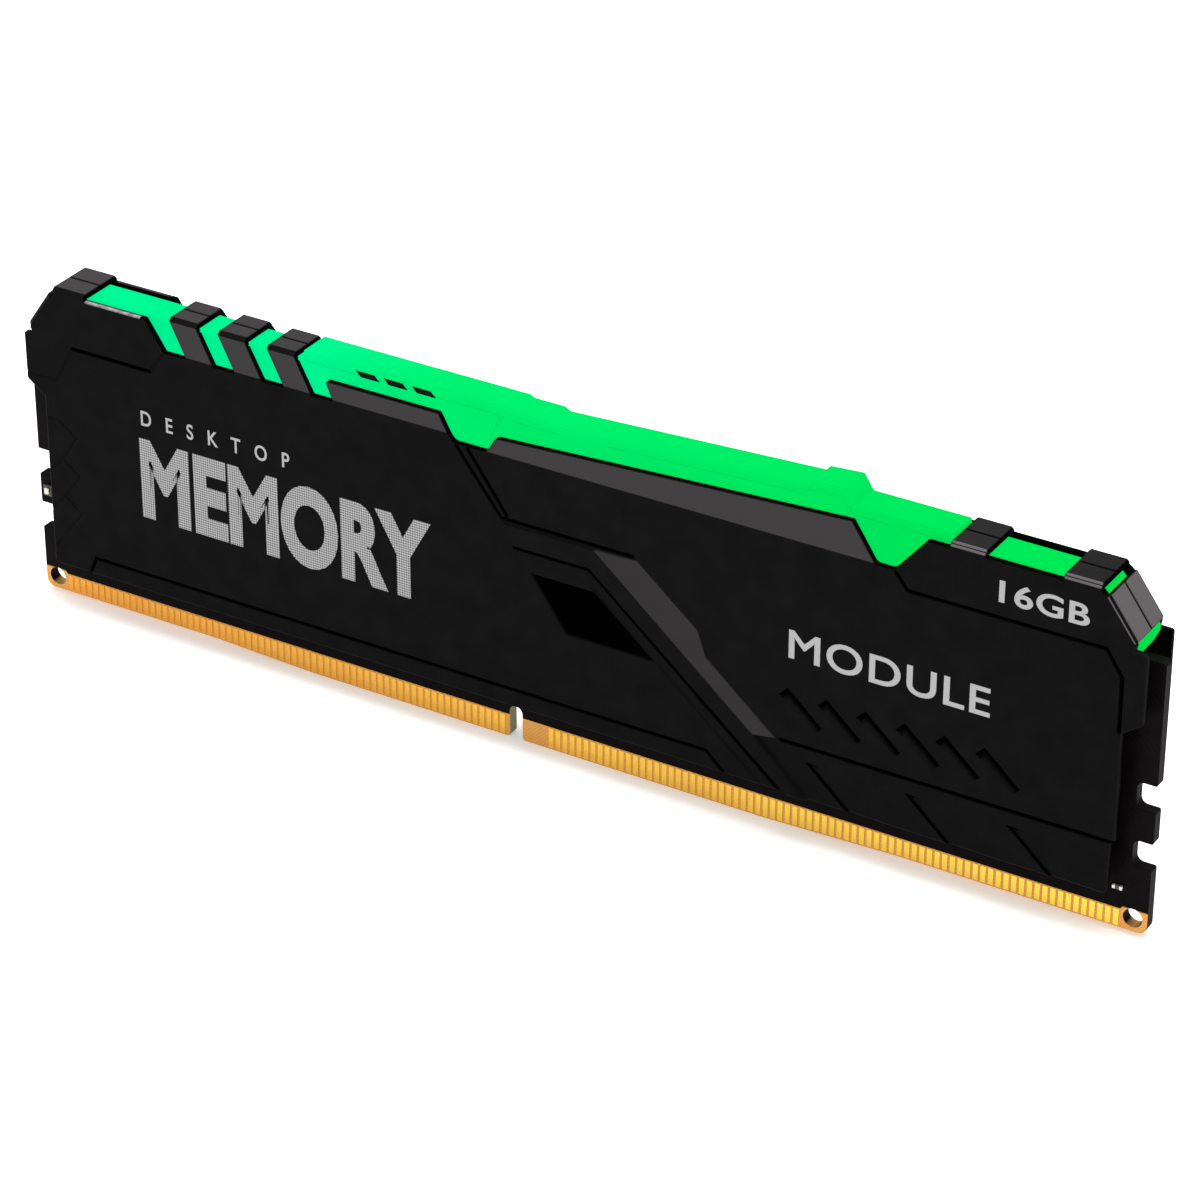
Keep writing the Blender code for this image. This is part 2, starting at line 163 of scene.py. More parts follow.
def capsule(path, radius, steps=4):
    """The closed line at one distance round an open path."""
    loop = []
    for way in (path, path[::-1]):
        loop += parallel(way, -radius)
        heading = Vector(way[-1]) - Vector(way[-2])
        first = math.atan2(heading.y, heading.x) - math.pi / 2
        for step in range(1, steps):
            loop.append(on_circle(way[-1], radius, first + math.pi * step / steps))
    return close(loop)


def close(loop):
    return [*loop, loop[0]]


def inner_ring(outline, distance):
    """The closed line at one distance inside an anticlockwise outline."""
    return close(parallel(outline, distance, closed=True))


def distance_to(points, path):
    """Distance from each point to an open path."""
    path = np.array(path, float)
    along = path[1:] - path[:-1]
    offset = points[:, None] - path[None, :-1]
    share = np.clip((offset * along).sum(2) / np.maximum((along**2).sum(1), 1e-12), 0, 1)
    return np.linalg.norm(offset - share[..., None] * along, axis=2).min(1)


def inside(points, loops):
    """Whether each point is inside the loops, by the even-odd rule."""
    crossings = np.zeros(len(points), int)
    x, z = points[:, :1], points[:, 1:]
    for loop in loops:
        start = np.array(loop, float)
        end = np.roll(start, -1, axis=0)
        spans = (start[:, 1] > z) != (end[:, 1] > z)
        rise = np.where(end[:, 1] == start[:, 1], 1.0, end[:, 1] - start[:, 1])
        at = start[:, 0] + (z - start[:, 1]) * (end[:, 0] - start[:, 0]) / rise
        crossings += (spans & (x < at)).sum(1)
    return crossings % 2 == 1


def depth_inside(points, loops):
    """Distance to the nearest edge of the loops, negative outside them."""
    distance = np.min([distance_to(points, close(loop)) for loop in loops], axis=0)
    return np.where(inside(points, loops), distance, -distance)


def at_depth(flat, depth):
    """Flat points in space, at one Y or each at its own."""
    return np.insert(flat, 1, depth, axis=1)


def plane_at(depth):
    """A placing function for a flat face."""
    return lambda flat: at_depth(flat, depth)


def rim_share(flat, outline, width):
    """One on an outline, falling to zero at a distance from it."""
    return np.clip(1 - distance_to(flat, close(outline)) / width, 0, 1)


def smooth(value):
    value = np.clip(value, 0, 1)
    return value * value * (3 - 2 * value)


def soft_ramp(value, rounding):
    """Zero below zero and the value itself above, with the corner between them rounded."""
    ramp = (np.clip(value, -rounding, rounding) + rounding) ** 2 / (4 * rounding)
    return np.where(value > rounding, value, ramp)


def triangulate(loops, creases):
    """Triangles that fill the loops, with an edge along every crease."""
    points = []
    edges = []
    for path in [close(loop) for loop in loops] + creases:
        edges += [(len(points) + step, len(points) + step + 1) for step in range(len(path) - 1)]
        points += [Vector(point) for point in path]
    coords, _, faces, *_ = delaunay_2d_cdt(points, edges, [], 0, 1e-4)
    flat = np.array([tuple(coord) for coord in coords])
    faces = np.array([face for face in faces if len(face) == 3])
    faces = faces[inside(flat[faces].mean(axis=1), loops)]
    first, second = np.diff(flat[faces], axis=1).transpose(1, 0, 2)
    area = first[:, 0] * second[:, 1] - first[:, 1] * second[:, 0]
    faces[area < 0] = faces[area < 0][:, ::-1]
    used, index = np.unique(faces[np.abs(area) > 1e-9], return_inverse=True)
    return flat[used], index.reshape(-1, 3)


# ---- solids


def surface_normals(place, flat):
    """The surface's unit normals, with the flat shape's left side up and its front towards -Y."""
    step = 1e-3
    across = place(flat + (step, 0)) - place(flat - (step, 0))
    up = place(flat + (0, step)) - place(flat - (0, step))
    return unit(np.cross(across, up))


def relief_solid(name, loops, creases, outer, inner, material, side=FRONT, **attributes):
    """A closed solid over a flat shape. outer and inner turn flat points into points in space.

    Each attribute is a function of the flat points and is stored for the material to read.
    """
    flat, faces = triangulate(loops, creases)
    count = len(flat)
    edges = np.concatenate([faces[:, [0, 1]], faces[:, [1, 2]], faces[:, [2, 0]]])
    known = {tuple(edge) for edge in edges}
    rim = [edge for edge in edges if (edge[1], edge[0]) not in known]
    vertices = np.concatenate([outer(flat), inner(flat)])
    polygons = [list(face) for face in faces]
    polygons += [[corner + count for corner in face[::-1]] for face in faces]
    polygons += [[second, first, first + count, second + count] for first, second in rim]
    if side == BACK:
        polygons = [polygon[::-1] for polygon in polygons]
    mesh = bpy.data.meshes.new(name)
    mesh.from_pydata(vertices * MM, [], polygons)
    mesh.materials.append(material)
    normals = np.concatenate([surface_normals(outer, flat), -surface_normals(inner, flat)]) * -side
    shading = [tuple(normals[corner]) for polygon in polygons[: 2 * len(faces)] for corner in polygon]
    for polygon in mesh.polygons[2 * len(faces) :]:
        shading += [tuple(polygon.normal)] * len(polygon.vertices)
    mesh.shade_smooth()
    mesh.normals_split_custom_set(shading)
    for key, function in attributes.items():
        layer = mesh.attributes.new(key, "FLOAT", "POINT")
        # The sheets' inner face and rim walls get painted shade.
        within = INSIDE_PAINTED_SHADE if key == "painted_shade" else 0.0
        values = np.concatenate([function(flat), np.full(count, within)])
        layer.data.foreach_set("value", values.astype(np.float32))
    return link(name, mesh)


def link(name, mesh):
    obj = bpy.data.objects.new(name, mesh)
    bpy.context.scene.collection.objects.link(obj)
    return obj


def mesh_object(name, mesh, *materials):
    """An object made from a bmesh, which it uses up."""
    data = bpy.data.meshes.new(name)
    mesh.to_mesh(data)
    mesh.free()
    for material in materials:
        data.materials.append(material)
    return link(name, data)


def joined(name, objects):
    """One object from several, keeping each one's materials."""
    mesh = bmesh.new()
    materials = []
    for obj in objects:
        first_new = len(mesh.faces)
        mesh.from_mesh(obj.data)
        mesh.faces.ensure_lookup_table()
        for face in mesh.faces[first_new:]:
            own = obj.data.materials[face.material_index]
            if own not in materials:
                materials.append(own)
            face.material_index = materials.index(own)
        bpy.data.objects.remove(obj)
    return mesh_object(name, mesh, *materials)


def block(first, last, round_edge, material):
    """A box with rounded edges between two opposite corners, in millimetres."""
    first, last = Vector(first), Vector(last)
    size = [abs(length) for length in last - first]
    mesh = bmesh.new()
    bmesh.ops.create_cube(mesh, size=1.0)
    for vert in mesh.verts:
        place = (first + last) / 2 + Vector(share * length for share, length in zip(vert.co, size))
        vert.co = place * MM
    shape = {"offset": round_edge * MM, "segments": 2, "profile": 0.5, "affect": "EDGES"}
    bmesh.ops.bevel(mesh, geom=mesh.edges[:], **shape)
    for face in mesh.faces:
        face.smooth = True
    obj = mesh_object("block", mesh, material)
    obj.data.set_sharp_from_angle(angle=math.radians(50))
    return obj


def finish_piece(obj, slot, *nodes):
    """Puts a piece on the one body and hides the CAD nodes it stands for. The finish name, slot, is not used.
    """
    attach(obj, "root")
    if nodes:
        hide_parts(*nodes)


# ---- materials


class Paint:
    """One material and short calls that add nodes to it. Coordinates are in millimetres."""

    def __init__(self, name):
        self.material = bpy.data.materials.new(name)
        self.material.use_nodes = True
        self.tree = self.material.node_tree
        self.shader = self.tree.nodes["Principled BSDF"]
        coordinates = self.tree.nodes.new("ShaderNodeTexCoord").outputs["Object"]
        self.place = self.add("ShaderNodeVectorMath", {0: coordinates, "Scale": 1 / MM}, operation="SCALE")
        self.x, self.y, self.z = self.add("ShaderNodeSeparateXYZ", {0: self.place}, outputs=3)

    def add(self, kind, inputs, outputs=1, **settings):
        node = self.tree.nodes.new(kind)
        for key, value in settings.items():
            setattr(node, key, value)
        for key, value in inputs.items():
            self.feed(node.inputs[key], value)
        found = [socket for socket in node.outputs if socket.enabled]
        return found[0] if outputs == 1 else found[:outputs]

    def feed(self, socket, value):
        if isinstance(value, bpy.types.NodeSocket):
            self.tree.links.new(value, socket)
        elif isinstance(value, tuple) and socket.type == "RGBA":
            socket.default_value = (*value, 1.0)
        else:
            socket.default_value = value

    def set(self, **inputs):
        for key, value in inputs.items():
            self.feed(self.shader.inputs[key.replace("_", " ")], value)
        return self.material

    def noise(self, scale, detail=2.0, vector=None):
        inputs = {"Vector": vector or self.place, "Scale": scale, "Detail": detail}
        return self.add("ShaderNodeTexNoise", inputs)

    def math(self, operation, first, second=0.0):
        return self.add("ShaderNodeMath", {0: first, 1: second}, operation=operation)

    def product(self, first, second):
        return self.math("MULTIPLY", first, second)

    def waves(self, value, rate):
        """A sine wave along a value, at a rate in radians per millimetre."""
        return self.math("SINE", self.product(value, rate))

    def fit(self, value, low, high, to_low=0.0, to_high=1.0):
        """The value's range mapped on to another, and held to it."""
        inputs = {"Value": value, "From Min": low, "From Max": high, "To Min": to_low, "To Max": to_high}
        return self.add("ShaderNodeMapRange", inputs)

    def mix(self, share, first, second):
        return self.add("ShaderNodeMix", {0: share, 6: first, 7: second}, data_type="RGBA")

    def stretch(self, x, y, z):
        """The coordinates with each axis multiplied by its own number."""
        return self.add("ShaderNodeVectorMath", {0: self.place, 1: (x, y, z)}, operation="MULTIPLY")

    def attribute(self, name):
        node = self.tree.nodes.new("ShaderNodeAttribute")
        node.attribute_name = name
        return node.outputs["Fac"]

    def bump(self, height, strength):
        inputs = {"Height": height, "Strength": strength, "Distance": 0.02 * MM}
        return self.set(Normal=self.add("ShaderNodeBump", inputs))


def anodised_black():
    """Blasted and anodised sheet: near black, with painted shade in its grooves, painted highlights on its
    up-leaning faces, folds and open top edge, and paler where its edges are worn.
    """
    paint = Paint("black_anodised_aluminium")
    blotch = paint.noise(0.35, 3.0)
    grain = paint.noise(14.0, 2.0)
    colour = paint.mix(paint.fit(blotch, 0.3, 0.7), (0.0038, 0.0036, 0.0038), (0.0054, 0.0051, 0.0053))
    # Painted highlight on the up-leaning faces and on the tops and facets of the folded tabs.
    colour = paint.mix(paint.attribute("painted_highlight"), colour, (0.088, 0.082, 0.084))
    patchy = paint.fit(paint.noise(1.6, 4.0), 0.35, 0.65, 0.5, 1.0)
    # Painted highlight on the open top edge and slight paling from handling on every other edge, both patchy.
    colour = paint.mix(paint.product(paint.attribute("wear_and_highlight"), patchy), colour, (0.42, 0.38, 0.39))
    # Painted shade: near black and without specular in grooves, hollows, scoop edges and the rims by the bar
    # and seam.
    sunk = paint.attribute("painted_shade")
    colour = paint.mix(sunk, colour, (0.0003, 0.0003, 0.0003))
    paint.set(Base_Color=colour, Roughness=paint.fit(grain, 0.3, 0.7, 0.42, 0.56))
    paint.set(Specular_IOR_Level=paint.fit(sunk, 0.0, 1.0, 0.012, 0.0))
    return paint.bump(grain, 0.12)


def solder_mask():
    """Glossy black mask with faint slanted tracks under it."""
    paint = Paint("solder_mask")
    lines = paint.fit(paint.waves(paint.math("ADD", paint.x, paint.z), 9.0), 0.2, 0.6)
    cells = paint.add("ShaderNodeTexVoronoi", {"Vector": paint.stretch(1.0, 1.0, 2.5), "Scale": 0.12})
    track = paint.product(lines, paint.fit(cells, 0.35, 0.6))
    colour = paint.mix(track, (0.003, 0.0023, 0.0026), (0.0042, 0.0034, 0.0036))
    dust = paint.fit(paint.noise(0.8, 4.0), 0.45, 0.75, 0.0, 0.4)
    colour = paint.mix(dust, colour, (0.007, 0.0048, 0.0055))
    paint.set(Base_Color=colour, Roughness=paint.fit(paint.noise(3.0, 3.0), 0.3, 0.7, 0.28, 0.42))
    paint.set(Specular_IOR_Level=0.02)
    return paint.bump(track, 0.25)


def laminate():
    """Bare glass-fibre board: woven, amber where the contacts are and dark where it was routed."""
    paint = Paint("laminate")
    weave = paint.fit(paint.product(paint.waves(paint.x, 14.0), paint.waves(paint.z, 14.0)), -0.6, 0.6)
    amber = paint.mix(weave, (0.66, 0.27, 0.04), (0.8, 0.37, 0.065))
    layers = paint.fit(paint.waves(paint.y, 30.0), -0.5, 0.5)
    routed = paint.mix(layers, (0.0025, 0.002, 0.002), (0.005, 0.0038, 0.0038))
    from_key = paint.math("ABSOLUTE", paint.math("SUBTRACT", paint.x, KEY_X))
    routed = paint.mix(paint.fit(from_key, 0.8, 1.1, 1.0, 0.0), routed, (0.3, 0.3, 0.17))
    geometry = paint.tree.nodes.new("ShaderNodeNewGeometry").outputs["True Normal"]
    normal = paint.add("ShaderNodeSeparateXYZ", {0: geometry}, outputs=3)
    flat_face = paint.fit(paint.math("ABSOLUTE", normal[1]), 0.6, 0.9)
    low_edge = paint.product(paint.fit(paint.z, 0.9, 1.3, 1.0, 0.0), paint.fit(from_key, 0.9, 1.1))
    by_contacts = paint.fit(paint.z, 2.9, 3.1, 1.0, 0.0)
    share = paint.product(paint.math("MAXIMUM", flat_face, low_edge), by_contacts)
    speckle = paint.fit(paint.noise(6.0, 4.0), 0.35, 0.7, 0.0, 0.5)
    flecks = paint.mix(share, (0.006, 0.0048, 0.0048), (0.42, 0.24, 0.08))
    colour = paint.mix(speckle, paint.mix(share, routed, amber), flecks)
    paint.set(Base_Color=colour, Roughness=0.5, Specular_IOR_Level=paint.fit(share, 0.0, 1.0, 0.02, 0.3))
    return paint.bump(weave, 0.2)


def gold_plating():
    """Hard gold over copper, with a fine vertical polish and slow shifts of tone."""
    paint = Paint("gold_plating")
    polish = paint.noise(1.0, 3.0, vector=paint.stretch(40.0, 40.0, 1.5))
    along = paint.fit(paint.x, BOARD_LOW.x, BOARD_HIGH.x)
    colour = paint.mix(along, (0.8, 0.31, 0.03), (1.0, 0.74, 0.09))
    colour = paint.mix(paint.fit(paint.noise(0.09), 0.4, 0.7, 0.0, 0.3), colour, (0.75, 0.36, 0.05))
    scuff = paint.fit(paint.noise(2.5, 5.0), 0.55, 0.8, 0.0, 0.35)
    colour = paint.mix(scuff, colour, (0.8, 0.5, 0.2))
    paint.set(Base_Color=colour, Metallic=0.75, Roughness=paint.fit(polish, 0.3, 0.7, 0.26, 0.42))
    return paint.bump(polish, 0.08)


def frosted_diffuser():
    """Frosted plastic lit from inside: bluer green at the left end, with soft unevenness and a rough skin."""
    paint = Paint("frosted_diffuser")
    colour = paint.mix(paint.fit(paint.x, -31.0, -15.0), (0.0, 0.86, 0.3), (0.0, 0.81, 0.155))
    colour = paint.mix(paint.fit(paint.x, -15.0, 62.0), colour, (0.0, 0.7, 0.06))
    cloud = paint.fit(paint.noise(0.16, 2.0), 0.3, 0.7, 0.0, 0.2)
    colour = paint.mix(cloud, colour, (0.0, 0.62, 0.1))
    colour = paint.mix(paint.product(paint.attribute("crease"), 0.35), colour, (0.0, 0.45, 0.08))
    skin = paint.noise(9.0, 3.0)
    paint.set(Base_Color=(0.0, 0.06, 0.012), Roughness=paint.fit(skin, 0.3, 0.7, 0.45, 0.6))
    paint.set(Emission_Color=colour, Emission_Strength=0.98, Specular_IOR_Level=0.0)
    return paint.bump(skin, 0.15)


def silver_print(name, screen):
    """Screen-printed silver ink, broken by a fine screen of dots of the given strength."""
    paint = Paint(name)
    speckle = paint.fit(paint.noise(10.0, 3.0), 0.35, 0.75, 0.0, 0.5)
    colour = paint.mix(speckle, (0.36, 0.36, 0.36), (0.26, 0.26, 0.265))
    rising = paint.waves(paint.math("ADD", paint.x, paint.z), 11.0)
    falling = paint.waves(paint.math("SUBTRACT", paint.x, paint.z), 11.0)
    dots = paint.fit(paint.product(rising, falling), -0.05, 0.35, 0.0, screen)
    colour = paint.mix(dots, colour, (0.012, 0.012, 0.012))
    paint.set(Base_Color=colour, Roughness=0.5, Specular_IOR_Level=0.25)
    return paint.bump(speckle, 0.1)


def speckled(name, dark, pale, roughness, scale, specular=0.4, metallic=0.0, bump=0.15):
    """A two-tone grained finish, for moulded, ceramic, tinned and printed parts."""
    paint = Paint(name)
    grain = paint.noise(scale, 4.0)
    blotch = paint.noise(scale / 8, 2.0)
    share = paint.product(paint.math("ADD", grain, blotch), 0.5)
    paint.set(Base_Color=paint.mix(paint.fit(share, 0.38, 0.62), dark, pale), Metallic=metallic)
    paint.set(Roughness=paint.fit(grain, 0.3, 0.7, roughness - 0.06, roughness + 0.08))
    paint.set(Specular_IOR_Level=specular)
    return paint.bump(grain, bump)


def floor_paper():
    paint = Paint("studio_floor")
    colour = paint.mix(paint.noise(0.02, 3.0), (0.86, 0.86, 0.86), (0.88, 0.88, 0.88))
    paint.set(Base_Color=colour, Roughness=0.9, Specular_IOR_Level=0.0)
    paint.set(Emission_Color=colour, Emission_Strength=0.3)
    return paint.material


# ---- heat spreaders

FOLD_STEP = 0.005
FOLD_LENGTH = 2 * FOLD_TURN + FOLD_FACET
FOLD_KNOTS = (0.0, FOLD_TURN, FOLD_TURN + FOLD_FACET, FOLD_LENGTH)
FOLD_AT = np.arange(0, 5, FOLD_STEP)
FOLD_TILT = np.interp(FOLD_AT, FOLD_KNOTS, np.radians((0, 45, 45, 90)))
FOLD_OUT = np.cumsum(np.cos(FOLD_TILT)) * FOLD_STEP
FOLD_IN = np.cumsum(np.sin(FOLD_TILT)) * FOLD_STEP
FOLD_TRAVEL = float(np.interp(FOLD_LENGTH, FOLD_AT, FOLD_IN))

# Painted highlight along a fold at the right: pale bands with dark lines between them.
TOP_TONE_AT = (0.0, 0.04, 0.26, 0.3, 0.38, 0.42, FOLD_LENGTH - 0.04, FOLD_LENGTH)
TOP_HIGHLIGHTS = (0.0, 1.0, 1.0, 0.0, 0.0, 1.0, 1.0, 0.0)
CHAMFER_TONE_AT = (0.0, 0.03, 0.14, 0.17, 0.44, 0.48)
CHAMFER_HIGHLIGHTS = (0.0, 1.0, 1.0, 0.0, 0.0, 0.95)
BANDED_FROM = 40.0
BAND_HIGHLIGHT = 1.4
FLAT_TOP_HIGHLIGHTS = (0.34, 0.06)
SLOPE_HIGHLIGHT = 0.27
BEND_HIGHLIGHT = 0.4

TOP_TABS = ((-61.5, -57.4), (44.65, 48.5), (56.6, 60.6))
TOP_TAB_LIMITS = (-61.55, 60.65)
CHAMFER_TAB_FOOT = 33.75

Fold = namedtuple("Fold", "point normal holds")


def inset_chamfer(chamfer):
    """The chamfer's fold line, set in so that the folded tab ends flush with the chamfer."""
    return parallel(chamfer, FOLD_TRAVEL)


def chamfer_fold(chamfer, holds):
    line = np.array(inset_chamfer(chamfer))
    return Fold(line[0], -left_of(np.diff(line, axis=0))[0], holds)


def on_top(x):
    return (x > TOP_TAB_LIMITS[0]) & (x < TOP_TAB_LIMITS[1])


FOLDS = (
    Fold(np.array((0.0, FOLD_LINE)), np.array((0.0, 1.0)), lambda x, z: on_top(x)),
    chamfer_fold(CHAMFER_LEFT, lambda x, z: (x <= TOP_TAB_LIMITS[0]) & (z > CHAMFER_TAB_FOOT)),
    chamfer_fold(CHAMFER_RIGHT, lambda x, z: (x >= TOP_TAB_LIMITS[1]) & (z > CHAMFER_TAB_FOOT)),
)


def lean_in(x, z):
    """How far the sheet leans towards the board, from one height on the left and another in the middle."""
    left = (x > BENT_FROM - NOTCH_SLANT * (z - FINGER_BOTTOM)) & (x < BEND_CHANGE)
    middle = (x >= BEND_CHANGE) & (x < BENT_TO)
    rise = left * soft_ramp(z - LEFT_BEND, BEND_ROUND)
    return LEAN * (rise + middle * soft_ramp(z - MIDDLE_BEND, BEND_ROUND))


def past_fold(flat):
    """How far each flat point is past the fold that moves it, and that fold's outward direction."""
    reach = np.zeros(len(flat))
    outward = np.zeros((len(flat), 2))
    for fold in FOLDS:
        past = (flat - fold.point) @ fold.normal
        moved = (past > 0) & fold.holds(*flat.T)
        reach[moved] = past[moved]
        outward[moved] = fold.normal
    return reach, outward


def bent(flat, shape):
    """Flat points of the sheet in space. shape turns the fold's travel and tilt into moves out and in."""
    reach, outward = past_fold(flat)
    travel = [np.interp(reach, FOLD_AT, column) * (reach > 0) for column in (FOLD_OUT, FOLD_IN, FOLD_TILT)]
    out, inward = shape(*travel)
    upright = FACE_DEPTH - lean_in(flat[:, 0], np.minimum(flat[:, 1], FOLD_LINE))
    return at_depth(flat + outward * (out - reach)[:, None], upright - inward)


def sheet_outside(flat):
    """The sheet's outer face, with each point sunk below it by its own depth."""
    sunk = sunk_by(flat)
    return bent(flat, lambda out, inward, tilt: (out - sunk * np.sin(tilt), inward + sunk * np.cos(tilt)))


def sheet_inside(flat):
    """The sheet's inner face, with a sharp corner inside each fold."""

    def corner(out, inward, _):
        return np.minimum(out, FOLD_TRAVEL - SHEET_THICKNESS), np.maximum(inward, SHEET_THICKNESS)

    return bent(flat, corner)


def tab_length(x, z):
    """Flat length of a tab that folds at a point and ends at the seam."""
    return FOLD_LENGTH + FACE_DEPTH - float(lean_in(x, z)) - FOLD_TRAVEL - SEAM_GAP


def top_tab(left, right):
    """Corners of a tab on the top edge, from its right foot round to its left foot."""
    top = FOLD_LINE + tab_length((left + right) / 2, FOLD_LINE)
    return [(right, TOP_EDGE), (right, top), (left, top), (left, TOP_EDGE)]


def chamfer_tab(chamfer):
    """Corners of the sheet's edge along a chamfer, with the tab standing on it."""
    start, end = (Vector(point) for point in inset_chamfer(chamfer))
    along = (end - start).normalized()
    outward = Vector((along.y, -along.x)) * tab_length(start.x, start.y)
    foot, head = start + along * CHAMFER_RELIEF, end - along * CHAMFER_RELIEF
    return [tuple(point) for point in (start, foot, foot + outward, head + outward, head, end)]


def stripe_outline(index):
    right = STRIPE_LAST_RIGHT - index * STRIPE_PITCH
    top_right = right - STRIPE_SHIFT
    sides = [(right, FINGER_BOTTOM), (top_right, FOLD_LINE)]
    sides += top_tab(top_right - STRIPE_WIDTH, top_right)[1:3]
    return sides + [(top_right - STRIPE_WIDTH, FOLD_LINE), (right - STRIPE_WIDTH, FINGER_BOTTOM)]


def spreader_outline():
    """The unfolded sheet, anticlockwise from its bottom left corner."""
    outline = [(-63.4, SHEET_BOTTOM, 0.5), (63.15, SHEET_BOTTOM, 0.5), (63.15, 11.65), (63.6, 11.65)]
    outline += [(63.6, 23.9, 0.3), (65.7, 25.4, 0.4), (65.7, 33.1, 0.3), (64.3, 33.1)]
    outline += chamfer_tab(CHAMFER_RIGHT) + top_tab(*TOP_TABS[2]) + top_tab(*TOP_TABS[1])
    outline += [(42.28, TOP_EDGE, 0.3), (38.85, 34.54, 0.8), (36.84, 34.54, 0.8), (33.9, 38.2, 0.3)]
    outline += [(-6.44, 36.22, 0.5), (-7.38, 34.59, 0.6), (-11.38, 34.59, 0.9)]
    outline += [(-13.24, 37.23, 0.25), (-27.12, 37.23, 0.25), (-25.97, FINGER_BOTTOM)]
    for index in range(STRIPE_COUNT):
        outline += stripe_outline(index)
    outline += [(-47.17, FINGER_BOTTOM), (-49.45, TOP_EDGE, 0.2)]
    outline += top_tab(*TOP_TABS[0]) + chamfer_tab(CHAMFER_LEFT)
    outline += [(-64.3, 33.1), (-65.6, 33.1, 0.3), (-65.6, 27.5, 0.4), (-63.4, 25.9, 0.3)]
    return round_corners(outline)


# The stamping of the outer face. Each groove is a path; the raised band and the slope beside it are one area.
GROOVE_DEPTH = 0.22
GROOVE_FLOOR = 0.14
GROOVE_WALL = 0.12
FAINT_SHARE = 0.2
GROOVES = (
    ((-59.18, 32.59), (-49.17, 32.59)),
    ((39.1, 34.3), (40.4, 32.65), (61.45, 32.65), (63.25, 30.0), (63.3, 24.0)),
    ((-58.9, 5.0), (-57.75, 7.56), (18.54, 7.56), (21.2, 5.0)),
    ((27.0, 11.55), (64.0, 11.55)),
    ((-10.96, 34.3), (-5.66, 27.45), (9.8, 27.45)),
    ((-9.6, 34.3), (-5.0, 27.9)),
    ((-4.1, 24.5), (4.75, 24.5), (27.7, 5.0)),
)
FAINT_GROOVES = (
    ((-65.5, 28.3), (-61.61, 28.3), (-59.18, 32.59)),
    ((-49.17, 32.59), (-47.17, 35.2)),
    ((-64.0, 23.3), (-61.76, 23.58), (-59.18, 21.86), (-61.33, 19.0), (-64.0, 16.2)),
    ((-61.33, 18.86), (-59.04, 17.14), (-61.33, 14.43), (-64.0, 11.4)),
    ((-61.33, 14.28), (-59.04, 12.57), (-64.0, 6.5)),
    ((5.38, 22.38), (12.82, 16.0), (25.4, 5.2)),
)
RAISED = [(-5.3, 27.2), (-3.9, 24.75), (4.9, 24.75), (28.4, 5.0), (30.9, 5.0), (24.2, 11.36)]
RAISED += [(26.64, 11.56), (18.4, 18.57), (17.97, 19.72), (17.39, 21.29), (10.3, 27.2)]
RAISED_WALL = 0.16
SLOPE_EDGE = ((5.3, 27.2), (24.0, 11.36))
SLOPE = [*SLOPE_EDGE, *RAISED[6:]]
RECESS = [(-2.3, 22.1), (1.95, 16.0), (12.6, 16.0), (5.3, 22.1)]
RECESS_DEPTH = 0.32
RECESS_WALL = 0.2

# Scoops sink along one edge and rise from there back to the face.
SCOOP_WALL = 0.14
SCOOP_SHARES = (0.0, 0.1, 0.3, 0.6, 1.0)
Scoop = namedtuple("Scoop", "outline deep_edge width depth shaded shade")


def slot(index):
    """One of the slanted slots at the right, which is shaded along its deep edge and round its top."""
    x = 26.69 + 4.35 * index
    corners = [(x, 16.85), (x + 4.01, 13.28), (x + 5.01, 14.28), (x + 1.0, 17.86)]
    return Scoop(corners, corners[2:], 1.42, 0.22, [*corners[2:], (x + 0.35, 17.21)], 0.6)


def low_scoop(index):
    """One of the wide scoops that run out at the sheet's lower edge."""
    x = 29.78 + 11.16 * index
    corners = [(x, 9.87), (x + 5.4, 5.0), (x + 11.2, 5.0), (x + 5.5, 9.87)]
    return Scoop(corners, corners[:2], 3.9, 0.16, [(x + 0.9, 9.87), *corners[:2]], 0.28)


SCOOPS = [*map(slot, range(6)), *map(low_scoop, range(3))]


def groove_share(flat, path):
    """One on a groove's floor, falling to zero at the top of its walls."""
    return smooth((GROOVE_FLOOR + GROOVE_WALL - distance_to(flat, path)) / GROOVE_WALL)


def grooves_share(flat):
    faint = np.max([groove_share(flat, path) for path in FAINT_GROOVES], axis=0)
    return np.maximum(faint * FAINT_SHARE, np.max([groove_share(flat, path) for path in GROOVES], axis=0))


def recess_share(flat):
    return smooth(depth_inside(flat, [RECESS]) / RECESS_WALL)


def scoop_share(flat, scoop):
    """How far down a scoop's floor is, from zero at its shallow edge to one beside its deep edge."""
    wall = smooth(depth_inside(flat, [scoop.outline]) / SCOOP_WALL)
    return wall * smooth(1 - distance_to(flat, scoop.deep_edge) / scoop.width)


def raised_by(flat):
    """Height of the raised band, which falls away beyond its slope's edge."""
    across = left_of(np.diff(SLOPE_EDGE, axis=0))[0]
    fall = RIDGE_SLOPE * soft_ramp((flat - SLOPE_EDGE[0]) @ across, RIDGE_ROUND)
    return np.maximum(RIDGE_RISE - fall, 0) * smooth(depth_inside(flat, [RAISED]) / RAISED_WALL)


SPREADER = spreader_outline()


def edge_share(flat):
    return rim_share(flat, SPREADER, EDGE_ROUND)


def sunk_by(flat):
    """How far the outer face lies below the plain sheet at each flat point."""
    sunk = GROOVE_DEPTH * grooves_share(flat) + RECESS_DEPTH * recess_share(flat) - raised_by(flat)
    for scoop in SCOOPS:
        sunk += scoop.depth * scoop_share(flat, scoop)
    return sunk + EDGE_DROP * edge_share(flat) ** 2


